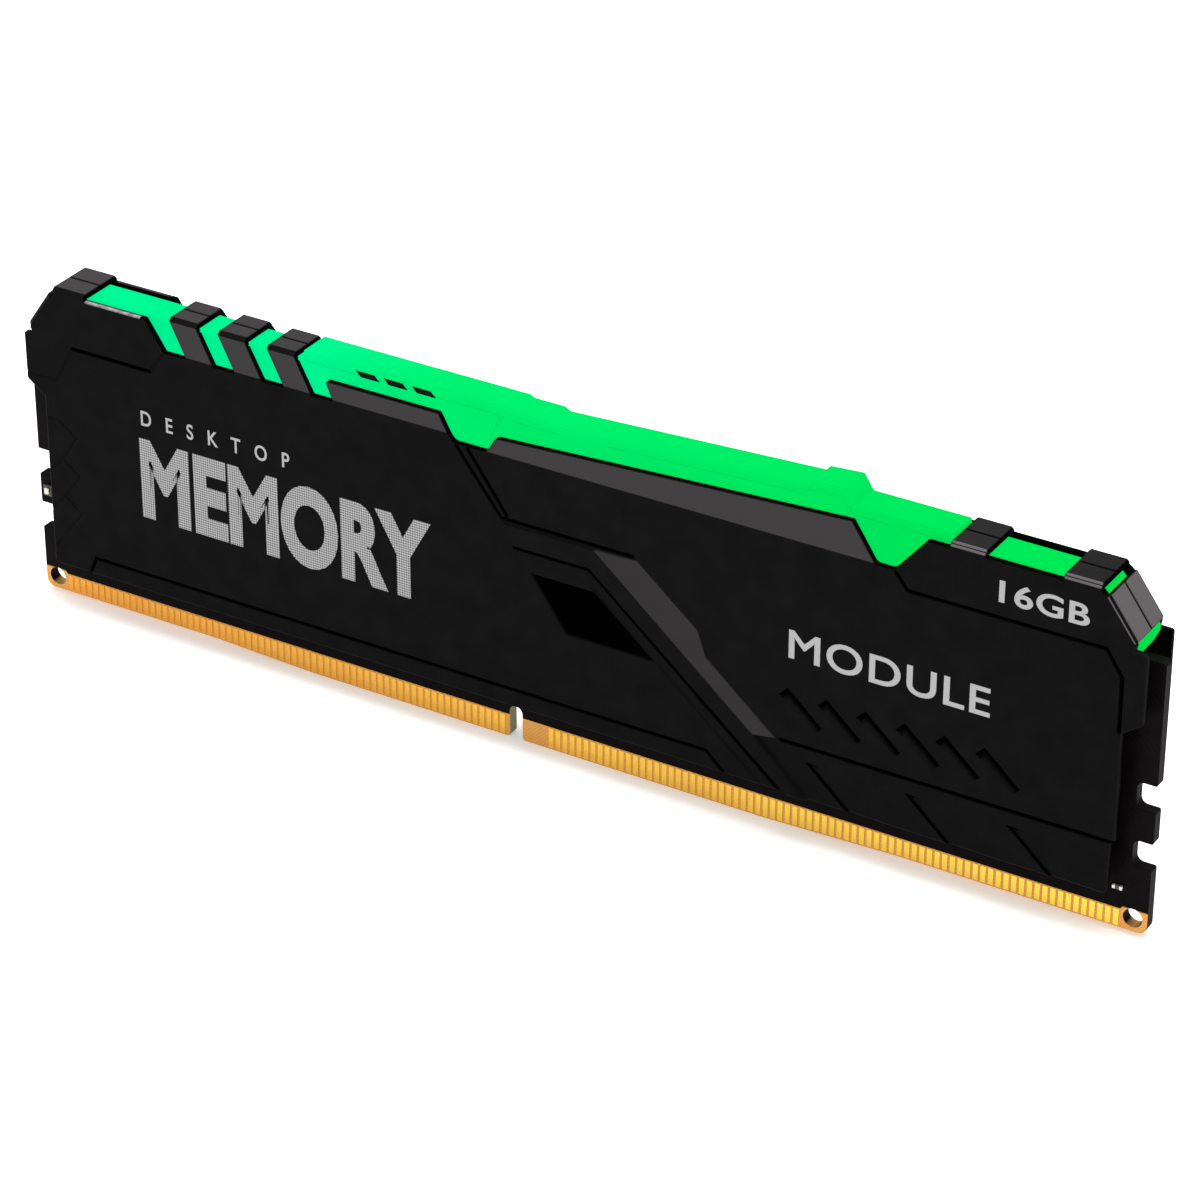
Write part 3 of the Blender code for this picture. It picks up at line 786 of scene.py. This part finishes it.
def painted_shade(flat):
    """Painted shade where light hardly reaches: grooves, recess, deep edges of scoops, and rims by the bar
    and the seam.
    """
    x, z = flat.T
    share = np.maximum(grooves_share(flat), recess_share(flat))
    by_bar = (z > MIDDLE_BEND - 0.3) & (abs(x) < 62) & ~on_open_top(x, z)
    by_seam = past_fold(flat)[0] > SEAM_RIM_FROM
    share = np.maximum(share, (by_bar | by_seam) * smooth(2 * edge_share(flat) - 0.7))
    for scoop in SCOOPS:
        near = smooth(1.5 - distance_to(flat, scoop.shaded) / scoop.shade / 1.2)
        share = np.maximum(share, near * (depth_inside(flat, [scoop.outline]) > SCOOP_WALL / 4))
    return share


OPEN_TOP = (-57.2, -50.1)
EDGE_WEAR = 0.012
# The back sheet gets less of the painted highlight and edge paling.
BACK_WEAR_AND_HIGHLIGHT = 0.25


def on_open_top(x, z):
    """The bare top edge between the left tab and the first notch, which catches the light."""
    along = (x > OPEN_TOP[0] - 0.01) & (x < OPEN_TOP[1] + 0.01)
    return along & (z > TOP_EDGE - 1.1 * EDGE_ROUND) & (z < FOLD_LINE)


def wear_and_highlight(flat):
    """Where handling has worn the finish a little on every edge, and a painted highlight on the open top edge
    at the left.
    """
    x, z = flat.T
    return edge_share(flat) * np.where(on_open_top(x, z), 1.0, EDGE_WEAR)


def painted_highlight(flat):
    """Painted highlight where faces lean up into the light: the raised slope, the bend, the folded tabs' tops
    fading from left to right, and pale bands on the folds at the right.
    """
    x, z = flat.T
    reach, _ = past_fold(flat)
    slope = SLOPE_HIGHLIGHT * smooth(depth_inside(flat, [SLOPE]) / RAISED_WALL)
    bend = BEND_HIGHLIGHT * smooth(lean_in(x, z) / (LEAN * BEND_ROUND))
    banded = BAND_HIGHLIGHT * np.interp(reach, TOP_TONE_AT, TOP_HIGHLIGHTS) * (x > BANDED_FROM)
    flat_top = np.interp(x, (-60.0, 60.0), FLAT_TOP_HIGHLIGHTS) * (reach > FOLD_LENGTH - 1e-3)
    on_chamfer = np.interp(reach, CHAMFER_TONE_AT, CHAMFER_HIGHLIGHTS) * (x > BANDED_FROM)
    tab = np.where(on_top(x), np.maximum(banded, flat_top), on_chamfer)
    return np.where(reach > 1e-4, tab, np.maximum(slope, bend))


def spreader_creases():
    """Every line where the outer face changes direction."""
    creases = [inner_ring(SPREADER, EDGE_ROUND * (1 - share)) for share in WALL_SHARES[:-1]]
    for share in WALL_SHARES:
        radius = GROOVE_FLOOR + GROOVE_WALL * (1 - share)
        creases += [capsule(path, radius) for path in GROOVES + FAINT_GROOVES]
        creases += [inner_ring(area, RAISED_WALL * share) for area in (RAISED, SLOPE)]
        creases.append(inner_ring(RECESS, RECESS_WALL * share))
    creases += [parallel(SLOPE_EDGE, offset) for offset in (-RIDGE_ROUND, 0.0, RIDGE_ROUND)]
    for scoop in SCOOPS:
        creases += [inner_ring(scoop.outline, SCOOP_WALL * share) for share in WALL_SHARES]
        creases += [parallel(scoop.deep_edge, scoop.width * share) for share in SCOOP_SHARES]
        creases += [parallel(scoop.shaded, scoop.shade * share) for share in (0.6, 0.9, 1.2, 1.5, 1.8)]
        first, second, third, fourth = scoop.outline
        for end in ((first, fourth), (third, second)):
            creases += [parallel(end, -1.8 * scoop.shade * share) for share in (0.5, 1.0)]
    for offset in (-BEND_ROUND, 0.0, BEND_ROUND):
        creases.append([(-48.5, LEFT_BEND + offset), (BEND_CHANGE, LEFT_BEND + offset)])
        creases.append([(BEND_CHANGE, MIDDLE_BEND + offset), (38.5, MIDDLE_BEND + offset)])
    for end in OPEN_TOP:
        for x in (end - 0.05, end, end + 0.05):
            creases.append([(x, TOP_EDGE - 2 * EDGE_ROUND), (x, TOP_EDGE)])
    for knot in sorted({*FOLD_KNOTS, *TOP_TONE_AT, *CHAMFER_TONE_AT}):
        creases.append([(TOP_TAB_LIMITS[0], FOLD_LINE + knot), (TOP_TAB_LIMITS[1], FOLD_LINE + knot)])
        for chamfer in (CHAMFER_LEFT, CHAMFER_RIGHT):
            creases.append(parallel(inset_chamfer(chamfer), -knot))
    return creases


def build_spreader(face, black):
    """One folded sheet. The back one is the front one mirrored, with less edge paling and a weaker painted
    highlight.
    """
    side = FACES[face]
    wear_highlight_share = 1.0 if side == FRONT else BACK_WEAR_AND_HIGHLIGHT
    shades = {"painted_shade": painted_shade, "wear_and_highlight": lambda flat: wear_highlight_share * wear_and_highlight(flat), "painted_highlight": painted_highlight}
    faces = [lambda flat, place=place: place(flat) * (1, side, 1) for place in (sheet_outside, sheet_inside)]
    sheet = relief_solid(f"{face}_spreader", [SPREADER], spreader_creases(), *faces, black, side, **shades)
    finish_piece(sheet, "black_anodised_aluminium", f"{face}_heat_spreader")


# ---- board and contacts

BOARD_END_RISE = 0.5
BOARD_STEPS = (-44.0, -31.0, 24.0, 39.0)
LATCH_NOTCHES = ((8.0, 11.0), (14.6, 17.6))
LATCH_NOTCH_DEPTH = 2.1
LATCH_NOTCH_RADIUS = 0.745
KEY_X, KEY_HALF_WIDTH, KEY_TOP, KEY_RADIUS = -5.575, 0.75, 3.85, 0.74
HOLE_X, HOLE_Z, HOLE_RADIUS = 65.1, 2.05, 1.05
MASK_BOTTOM = 2.72
MASK_THICKNESS = 0.02
MASK_INSET = 0.04

CONTACT_PITCH = 0.85
CONTACT_WIDTH = 0.6
CONTACT_TOP = 2.6
CONTACT_CLEARANCE = 0.2
CONTACT_BANKS = {"left": (-7.225, 67), "right": (63.325, 77)}


def board_ends(inset, bottom):
    """Both ends of the board with their latch notches, up the right one and down the left one."""
    edge = BOARD_HIGH.x - inset
    inner = edge - LATCH_NOTCH_DEPTH
    end = [(edge, bottom, 1.0 if bottom == BOARD_END_RISE else 0.0)]
    for low, high in LATCH_NOTCHES:
        end += [(edge, low - inset, 0.2), (inner, low - inset, LATCH_NOTCH_RADIUS)]
        end += [(inner, high + inset, LATCH_NOTCH_RADIUS), (edge, high + inset, 0.2)]
    end.append((edge, BOARD_HIGH.z - inset, 0.4))
    return end + [(-x, z, radius) for x, z, radius in reversed(end)]


def key_slot(inset, bottom, entrance):
    left, right = KEY_X - KEY_HALF_WIDTH - inset, KEY_X + KEY_HALF_WIDTH + inset
    top = KEY_TOP + inset
    head = [(left, top, KEY_RADIUS), (right, top, KEY_RADIUS)]
    return [(left, bottom, entrance), *head, (right, bottom, entrance)]


def board_outline():
    left_high, left_low, right_low, right_high = BOARD_STEPS
    corners = [(right_low, 0.0), (right_high, BOARD_END_RISE)]
    corners += board_ends(0.0, BOARD_END_RISE)
    corners += [(left_high, BOARD_END_RISE), (left_low, 0.0)]
    return round_corners(corners + key_slot(0.0, 0.0, 0.45))


def mask_outline():
    """The board above its contacts, a little inside its edges, and clear of the two tooling holes."""
    ends = HOLE_Z + HOLE_RADIUS + 0.25
    corners = [(63.75, MASK_BOTTOM), (64.2, ends, 0.3)]
    corners += board_ends(MASK_INSET, ends)
    corners += [(-64.2, ends, 0.3), (-63.75, MASK_BOTTOM)]
    return round_corners(corners + key_slot(MASK_INSET, MASK_BOTTOM, 0.0))


def board_bottom(x):
    """Height of the board's lower edge, which steps up towards both ends."""
    return BOARD_END_RISE * float(np.interp(x, BOARD_STEPS, (1.0, 0.0, 0.0, 1.0)))


def softened(outline, half, round_edge):
    """Faces for a flat plate with its edges rounded over, and the creases that rounding needs."""

    def face(side):
        def place(flat):
            share = rim_share(flat, outline, round_edge)
            return at_depth(flat, side * (half - round_edge * 0.6 * share**2))

        return place

    creases = [inner_ring(outline, round_edge * share) for share in (0.5, 1.0)]
    return face(FRONT), face(BACK), creases


def build_board():
    outline = board_outline()
    holes = [circle(side * HOLE_X, HOLE_Z, HOLE_RADIUS) for side in (-1, 1)]
    half = BOARD_DEPTH - MASK_THICKNESS
    front, back, creases = softened(outline, half, 0.08)
    layers = [relief_solid("laminate_core", [outline, *holes], creases, front, back, laminate())]
    black = solder_mask()
    for side in FACES.values():
        near, far = plane_at(side * BOARD_DEPTH), plane_at(side * (half - 0.01))
        layers.append(relief_solid("mask_layer", [mask_outline()], [], near, far, black, side))
    finish_piece(joined("board", layers), "solder_mask", "pcb")


def add_plate(mesh, outline, near, far, round_edge):
    """Adds a closed plate to a bmesh: its rim from near towards far, with the far edge rounded over."""
    turn = math.copysign(round_edge, far - near)
    rings = []
    for share, depth in ((0.0, near), (0.0, far - turn), (0.3, far - 0.3 * turn), (1.0, far)):
        ring = parallel(outline, share * round_edge, closed=True)
        rings.append([mesh.verts.new(Vector((x, depth, z)) * MM) for x, z in ring])
    if far > near:
        rings.reverse()
    for low, high in zip(rings, rings[1:]):
        for index in range(len(outline)):
            wall = mesh.faces.new((low[index - 1], low[index], high[index], high[index - 1]))
            wall.smooth = True
    mesh.faces.new(rings[0][::-1])
    mesh.faces.new(rings[-1])


def build_bank(face, bank, material):
    """One bank of gold fingers, each its own raised pad."""
    last, count = CONTACT_BANKS[bank]
    side = FACES[face]
    half = CONTACT_WIDTH / 2
    mesh = bmesh.new()
    for index in range(count):
        x = last - index * CONTACT_PITCH
        bottom = board_bottom(x) + CONTACT_CLEARANCE
        corners = [(x - half, bottom, 0.12), (x + half, bottom, 0.12)]
        corners += [(x + half, CONTACT_TOP, 0.05), (x - half, CONTACT_TOP, 0.05)]
        pad = round_corners(corners, steps=3)
        add_plate(mesh, pad, side * (BOARD_DEPTH - 0.04), side * (BOARD_DEPTH + 0.045), 0.03)
    fingers = mesh_object(f"{face}_contact_fingers_{bank}", mesh, material)
    finish_piece(fingers, "gold_plating", f"{face}_contacts_{bank}")


def build_contacts():
    gold = gold_plating()
    for face in FACES:
        for bank in CONTACT_BANKS:
            build_bank(face, bank, gold)


# ---- light bar

BAR_LOW, BAR_HIGH = box_mm("light_bar")
BAR_DEPTH = BAR_HIGH.y
BAR_HEAD_DEPTH = 2.15
BAR_SHOULDER = 38.56
BAR_HEAD_START = 38.3
HEAD_STEP = 0.1
BAR_ROUND = 0.3
BAR_EDGE_DROP = 0.28
HEAD_LEFT, HEAD_RIGHT = -30.1, 44.5
BAR_HEAD = [(HEAD_RIGHT, 39.54), (33.9, 39.54), (32.84, 41.17), (29.12, 40.89), (28.7, 40.37)]
BAR_HEAD += [(-0.4, 38.89), (-1.09, 39.26), (-4.66, 39.26), (-5.23, 39.54), (HEAD_LEFT, 39.54)]
BAR_OUTLINE = [(BAR_LOW.x, BAR_LOW.z), (63.9, BAR_LOW.z), (64.6, 33.1), (64.6, 33.7)]
BAR_OUTLINE += [(60.35, BAR_SHOULDER), (HEAD_RIGHT, BAR_SHOULDER), *BAR_HEAD]
BAR_OUTLINE += [(HEAD_LEFT, BAR_SHOULDER), (-61.2, BAR_SHOULDER), (BAR_LOW.x, 33.9)]
# Faint lines in the moulding: where its face turns, and where it steps at the two notches and at the peak.
BAR_TURN = ((-30.0, 38.6), (-6.2, 38.6), (-4.3, 38.1), (-1.2, 38.1), (28.3, 39.5), (29.0, 40.1))
BAR_TURN += ((32.6, 40.3), (33.9, 38.7), (44.4, 38.7))
BAR_LINES = (BAR_TURN, ((-6.4, 38.5), (-7.6, 35.2)), ((33.6, 39.0), (32.4, 38.0), (34.6, 36.2)))
BAR_LINE_HALF = 0.14
BAR_LINE_DEPTH = 0.05


def bar_depth(flat):
    """Half the bar's thickness: upright at first, then leaning in with the sheets, then the thicker head."""
    x, z = flat.T
    lean = LEAN * np.interp(x, (-49.0, -47.5, 38.5, 40.0), (0.35, 1.0, 1.0, 0.5))
    upright = BAR_DEPTH - lean * soft_ramp(z - MIDDLE_BEND, BEND_ROUND)
    share = smooth((z - BAR_HEAD_START) / HEAD_STEP) * ((x > HEAD_LEFT - 0.1) & (x < HEAD_RIGHT + 0.1))
    depth = upright + (BAR_HEAD_DEPTH - upright) * share
    edge = rim_share(flat, BAR_OUTLINE, BAR_ROUND)
    return depth - BAR_EDGE_DROP * edge**2 - BAR_LINE_DEPTH * bar_line_share(flat)


def bar_line_share(flat):
    return np.max([smooth(1 - distance_to(flat, line) / BAR_LINE_HALF) for line in BAR_LINES], axis=0)


def build_light_bar():
    creases = [inner_ring(BAR_OUTLINE, BAR_ROUND * share) for share in (0.25, 0.5, 0.75, 1.0)]
    for line in BAR_LINES:
        creases += [line, capsule(line, BAR_LINE_HALF / 2), capsule(line, BAR_LINE_HALF)]
    for height in (MIDDLE_BEND - BEND_ROUND, MIDDLE_BEND + BEND_ROUND):
        creases.append([(BAR_LOW.x, height), (BAR_HIGH.x, height)])
    for height in (BAR_HEAD_START, BAR_HEAD_START + HEAD_STEP / 2, BAR_HEAD_START + HEAD_STEP):
        creases.append([(HEAD_LEFT, height), (HEAD_RIGHT, height)])
    faces = [lambda flat, side=side: at_depth(flat, side * bar_depth(flat)) for side in FACES.values()]
    bar = relief_solid("glow_bar", [BAR_OUTLINE], creases, *faces, frosted_diffuser(), crease=bar_line_share)
    finish_piece(bar, "frosted_diffuser", "light_bar")


def build_bar_marks():
    """Three slanted dashes printed on each face of the bar."""
    ink = speckled("black_ink", (0.003, 0.004, 0.003), (0.006, 0.007, 0.006), 0.5, 12.0, 0.02)
    for face, side in FACES.items():
        mesh = bmesh.new()
        for index in range(3):
            x = -23.0 + 3.4 * index
            outline = [(x, 38.45), (x + 2.3, 38.45), (x + 1.7, 39.1), (x - 0.6, 39.1)]
            add_plate(mesh, outline, side * (BAR_HEAD_DEPTH - 0.05), side * (BAR_HEAD_DEPTH + 0.02), 0.01)
        finish_piece(mesh_object(f"{face}_bar_marks", mesh, ink), "frosted_diffuser")


# ---- print

PRINT_THICKNESS = 0.03
Word = namedtuple("Word", "name text left bottom right top spacing bold")
WORDS = (
    Word("print_line", "DESKTOP", -50.6, 25.85, -31.6, 27.65, 2.7, 0.012),
    Word("print_large", "MEMORY", -51.0, 14.6, -14.2, 24.4, 1.02, 0.045),
    Word("print_word", "MODULE", 27.7, 21.3, 49.8, 24.6, 1.08, 0.012),
    Word("print_size", "16GB", 50.1, 34.35, 59.6, 36.8, 1.06, 0.02),
)


def build_word(word, material):
    """Raised ink in plain type on the front face, fitted to its box."""
    curve = bpy.data.curves.new(word.name, "FONT")
    curve.body = word.text
    curve.space_character = word.spacing
    curve.bevel_depth = word.bold
    curve.resolution_u = 6
    curve.extrude = 0.05
    typed = link(curve.name, curve)
    bpy.context.view_layer.update()
    mesh = bpy.data.meshes.new_from_object(typed)
    bpy.data.objects.remove(typed)
    mesh.name = word.name
    spots = np.array([vertex.co for vertex in mesh.vertices])
    share = (spots - spots.min(axis=0)) / np.ptp(spots, axis=0)
    x = word.left + share[:, 0] * (word.right - word.left)
    z = word.bottom + share[:, 1] * (word.top - word.bottom)
    y = -FACE_DEPTH - np.where(share[:, 2] > 0.5, PRINT_THICKNESS, -0.02)
    mesh.vertices.foreach_set("co", (np.stack([x, y, z], 1) * MM).ravel())
    mesh.update()
    mesh.materials.clear()
    mesh.materials.append(material)
    finish_piece(link(word.name, mesh), "black_anodised_aluminium")


def build_print():
    plain = silver_print("silver_ink", 0.0)
    screened = silver_print("silver_ink_screened", 0.85)
    for word in WORDS:
        build_word(word, screened if word.name == "print_large" else plain)


# ---- small parts


def soften_node(name, material, width, segments=2):
    """Gives a CAD node its finish and rounds its edges with a modifier."""
    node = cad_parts[name]
    node.data.materials.clear()
    node.data.materials.append(material)
    bevel = node.modifiers.new("rounded_edges", "BEVEL")
    bevel.width = width * MM
    bevel.segments = segments
    bevel.limit_method = "ANGLE"


def soldered_chip(name, low, high, end, body_trim, end_round, body, tin):
    """A chip between two corners, soldered by both ends: a body between two tinned ends."""
    parts = [block((low.x + end, low.y + body_trim, low.z), (high.x - end, high.y, high.z), 0.04, body)]
    for left in (low.x, high.x - end):
        parts.append(block((left, low.y, low.z), (left + end, high.y, high.z), end_round, tin))
    return joined(name, parts)


def build_resistor(name, body, tin):
    low, high = box_mm(name)
    low.z += 0.32
    high.z -= 0.18
    chip = soldered_chip(f"{name}_soldered", low, high, 0.3, 0.0, 0.07, body, tin)
    finish_piece(chip, "ceramic_array", name)


def build_infrared(name, gold, lens):
    """A gilt base on the board, with a smaller pale lens on it."""
    low, high = box_mm(name)
    x, _, z = (low + high) / 2
    board, front = sorted((low.y, high.y), key=abs)
    middle = board + math.copysign(0.35, front)
    base = block((low.x, board, low.z), (high.x, middle, high.z), 0.05, gold)
    window = block((x - 0.3, middle, z - 0.35), (x + 0.3, front, z + 0.35), 0.1, lens)
    finish_piece(joined(f"{name}_package", [base, window]), "infrared_lens", name)


CAPACITORS_X = (-62.8, -61.5, -60.2, -58.9, 63.35)
CAPACITOR_Z = 5.2


def build_capacitors(body, tin):
    """The loose capacitors below the ends of the sheet, which the CAD frame leaves out."""
    for index, x in enumerate(CAPACITORS_X):
        half, rise = (0.55, 0.22) if x > 0 else (0.3, 0.18)
        low = Vector((x - half, -BOARD_DEPTH - 0.32, CAPACITOR_Z - rise))
        high = Vector((x + half, -BOARD_DEPTH, CAPACITOR_Z + rise))
        chip = soldered_chip(f"capacitor_{index + 1}", low, high, half * 0.6, 0.03, 0.06, body, tin)
        finish_piece(chip, "ceramic_array")


def build_small_parts():
    resin = speckled("chip_resin", (0.012, 0.012, 0.013), (0.022, 0.022, 0.023), 0.55, 8.0)
    ceramic = speckled("ceramic_array", (0.55, 0.55, 0.53), (0.7, 0.7, 0.68), 0.5, 10.0)
    tin = speckled("tinned_ends", (0.6, 0.6, 0.62), (0.8, 0.8, 0.82), 0.3, 9.0, metallic=0.6)
    build_capacitors(speckled("capacitor_body", (0.06, 0.045, 0.03), (0.1, 0.08, 0.055), 0.5, 10.0), tin)
    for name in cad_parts:
        if "_dram_chip_" in name or name in ("spd_eeprom", "lighting_controller"):
            soften_node(name, resin, 0.12)
        if name.startswith("resistor_array"):
            build_resistor(name, ceramic, tin)
    foam = speckled("thermal_pad", (0.16, 0.17, 0.2), (0.22, 0.23, 0.27), 0.8, 3.0, bump=0.4)
    led = speckled("led_package", (0.7, 0.72, 0.66), (0.85, 0.86, 0.8), 0.4, 6.0)
    for face in FACES:
        soften_node(f"{face}_thermal_pad", foam, 0.1)
    for index in range(5):
        soften_node(f"led_{index + 1}", led, 0.1)
    gold = speckled("gilt_frame", (0.012, 0.01, 0.004), (0.09, 0.065, 0.02), 0.35, 5.0)
    lens = speckled("infrared_lens", (0.75, 0.74, 0.68), (0.88, 0.87, 0.82), 0.25, 6.0)
    for name in ("ir_emitter", "ir_receiver"):
        build_infrared(name, gold, lens)


def build_label():
    """A paper label with plain bars and dashes in place of print."""
    paper = speckled("label_stock", (0.44, 0.44, 0.42), (0.56, 0.56, 0.54), 0.6, 4.0)
    ink = speckled("label_ink", (0.01, 0.01, 0.01), (0.03, 0.03, 0.03), 0.6, 8.0)
    soften_node("rating_label", paper, 0.02, 1)
    low, high = box_mm("rating_label")
    mesh = bmesh.new()

    def mark(left, bottom, right, top):
        outline = [(left, bottom), (right, bottom), (right, top), (left, top)]
        add_plate(mesh, outline, high.y - 0.01, high.y + 0.004, 0.002)

    x = high.x - 2.0
    widths = (0.3, 0.16, 0.16, 0.42, 0.2, 0.3, 0.14, 0.36, 0.22)
    for index in range(36):
        width = widths[index % len(widths)]
        mark(x - width, low.z + 6.6, x, high.z - 1.2)
        x -= width + widths[(index * 4 + 1) % len(widths)]
    for row in range(3):
        z = low.z + 1.3 + 1.6 * row
        for column, length in enumerate((9.0, 13.0, 7.0)):
            left = low.x + 3.0 + 13.4 * column
            mark(left, z, left + length - row, z + 0.7)
    finish_piece(mesh_object("label_bars", mesh, ink), "label_stock")


# ---- studio

CAMERA_AT = (204.76, -335.52, 244.97)
CAMERA_AIM = (4.18, 0.0, 19.3)
CAMERA_ROLL = 0.14
CAMERA_LENS = 133.2
LIGHT_AIM = (0.0, 0.0, 20.0)
FLOOR_REACH = 3.0


def area_light(name, place, size, watts):
    light = bpy.data.lights.new(name, "AREA")
    light.shape = "RECTANGLE"
    light.size, light.size_y = (length * MM for length in size)
    light.energy = watts
    obj = link(name, light)
    obj.location = Vector(place) * MM
    obj.rotation_euler = (Vector(LIGHT_AIM) - Vector(place)).to_track_quat("-Z", "Y").to_euler()


def build_studio():
    scene = bpy.context.scene
    scene.view_settings.view_transform = "Standard"
    mesh = bpy.data.meshes.new("studio_floor")
    corners = [(FLOOR_REACH * x, FLOOR_REACH * y, 0) for x, y in ((-1, -1), (1, -1), (1, 1), (-1, 1))]
    mesh.from_pydata(corners, [], [(0, 1, 2, 3)])
    mesh.materials.append(floor_paper())
    link("studio_floor", mesh)
    world = bpy.data.worlds.new("studio_world")
    world.use_nodes = True
    sky = world.node_tree.nodes["Background"].inputs
    sky["Color"].default_value = (1.0, 1.0, 1.0, 1.0)
    sky["Strength"].default_value = 0.8
    scene.world = world
    area_light("overhead_softbox", (20, 40, 420), (420, 300), 2.6)
    area_light("front_fill", (-220, -380, 200), (300, 300), 0.2)


def build_camera():
    camera = bpy.data.cameras.new("camera")
    camera.lens = CAMERA_LENS
    camera.clip_start = 0.01
    obj = link("camera", camera)
    aim = (Vector(CAMERA_AIM) - Vector(CAMERA_AT)).to_track_quat("-Z", "Y").to_matrix()
    roll = Matrix.Rotation(math.radians(CAMERA_ROLL), 3, "Z")
    obj.matrix_world = Matrix.Translation(Vector(CAMERA_AT) * MM) @ (aim @ roll).to_4x4()
    bpy.context.scene.camera = obj


anodised = anodised_black()
for face in FACES:
    build_spreader(face, anodised)
build_board()
build_contacts()
build_light_bar()
build_bar_marks()
build_print()
build_small_parts()
build_label()
build_studio()
build_camera()
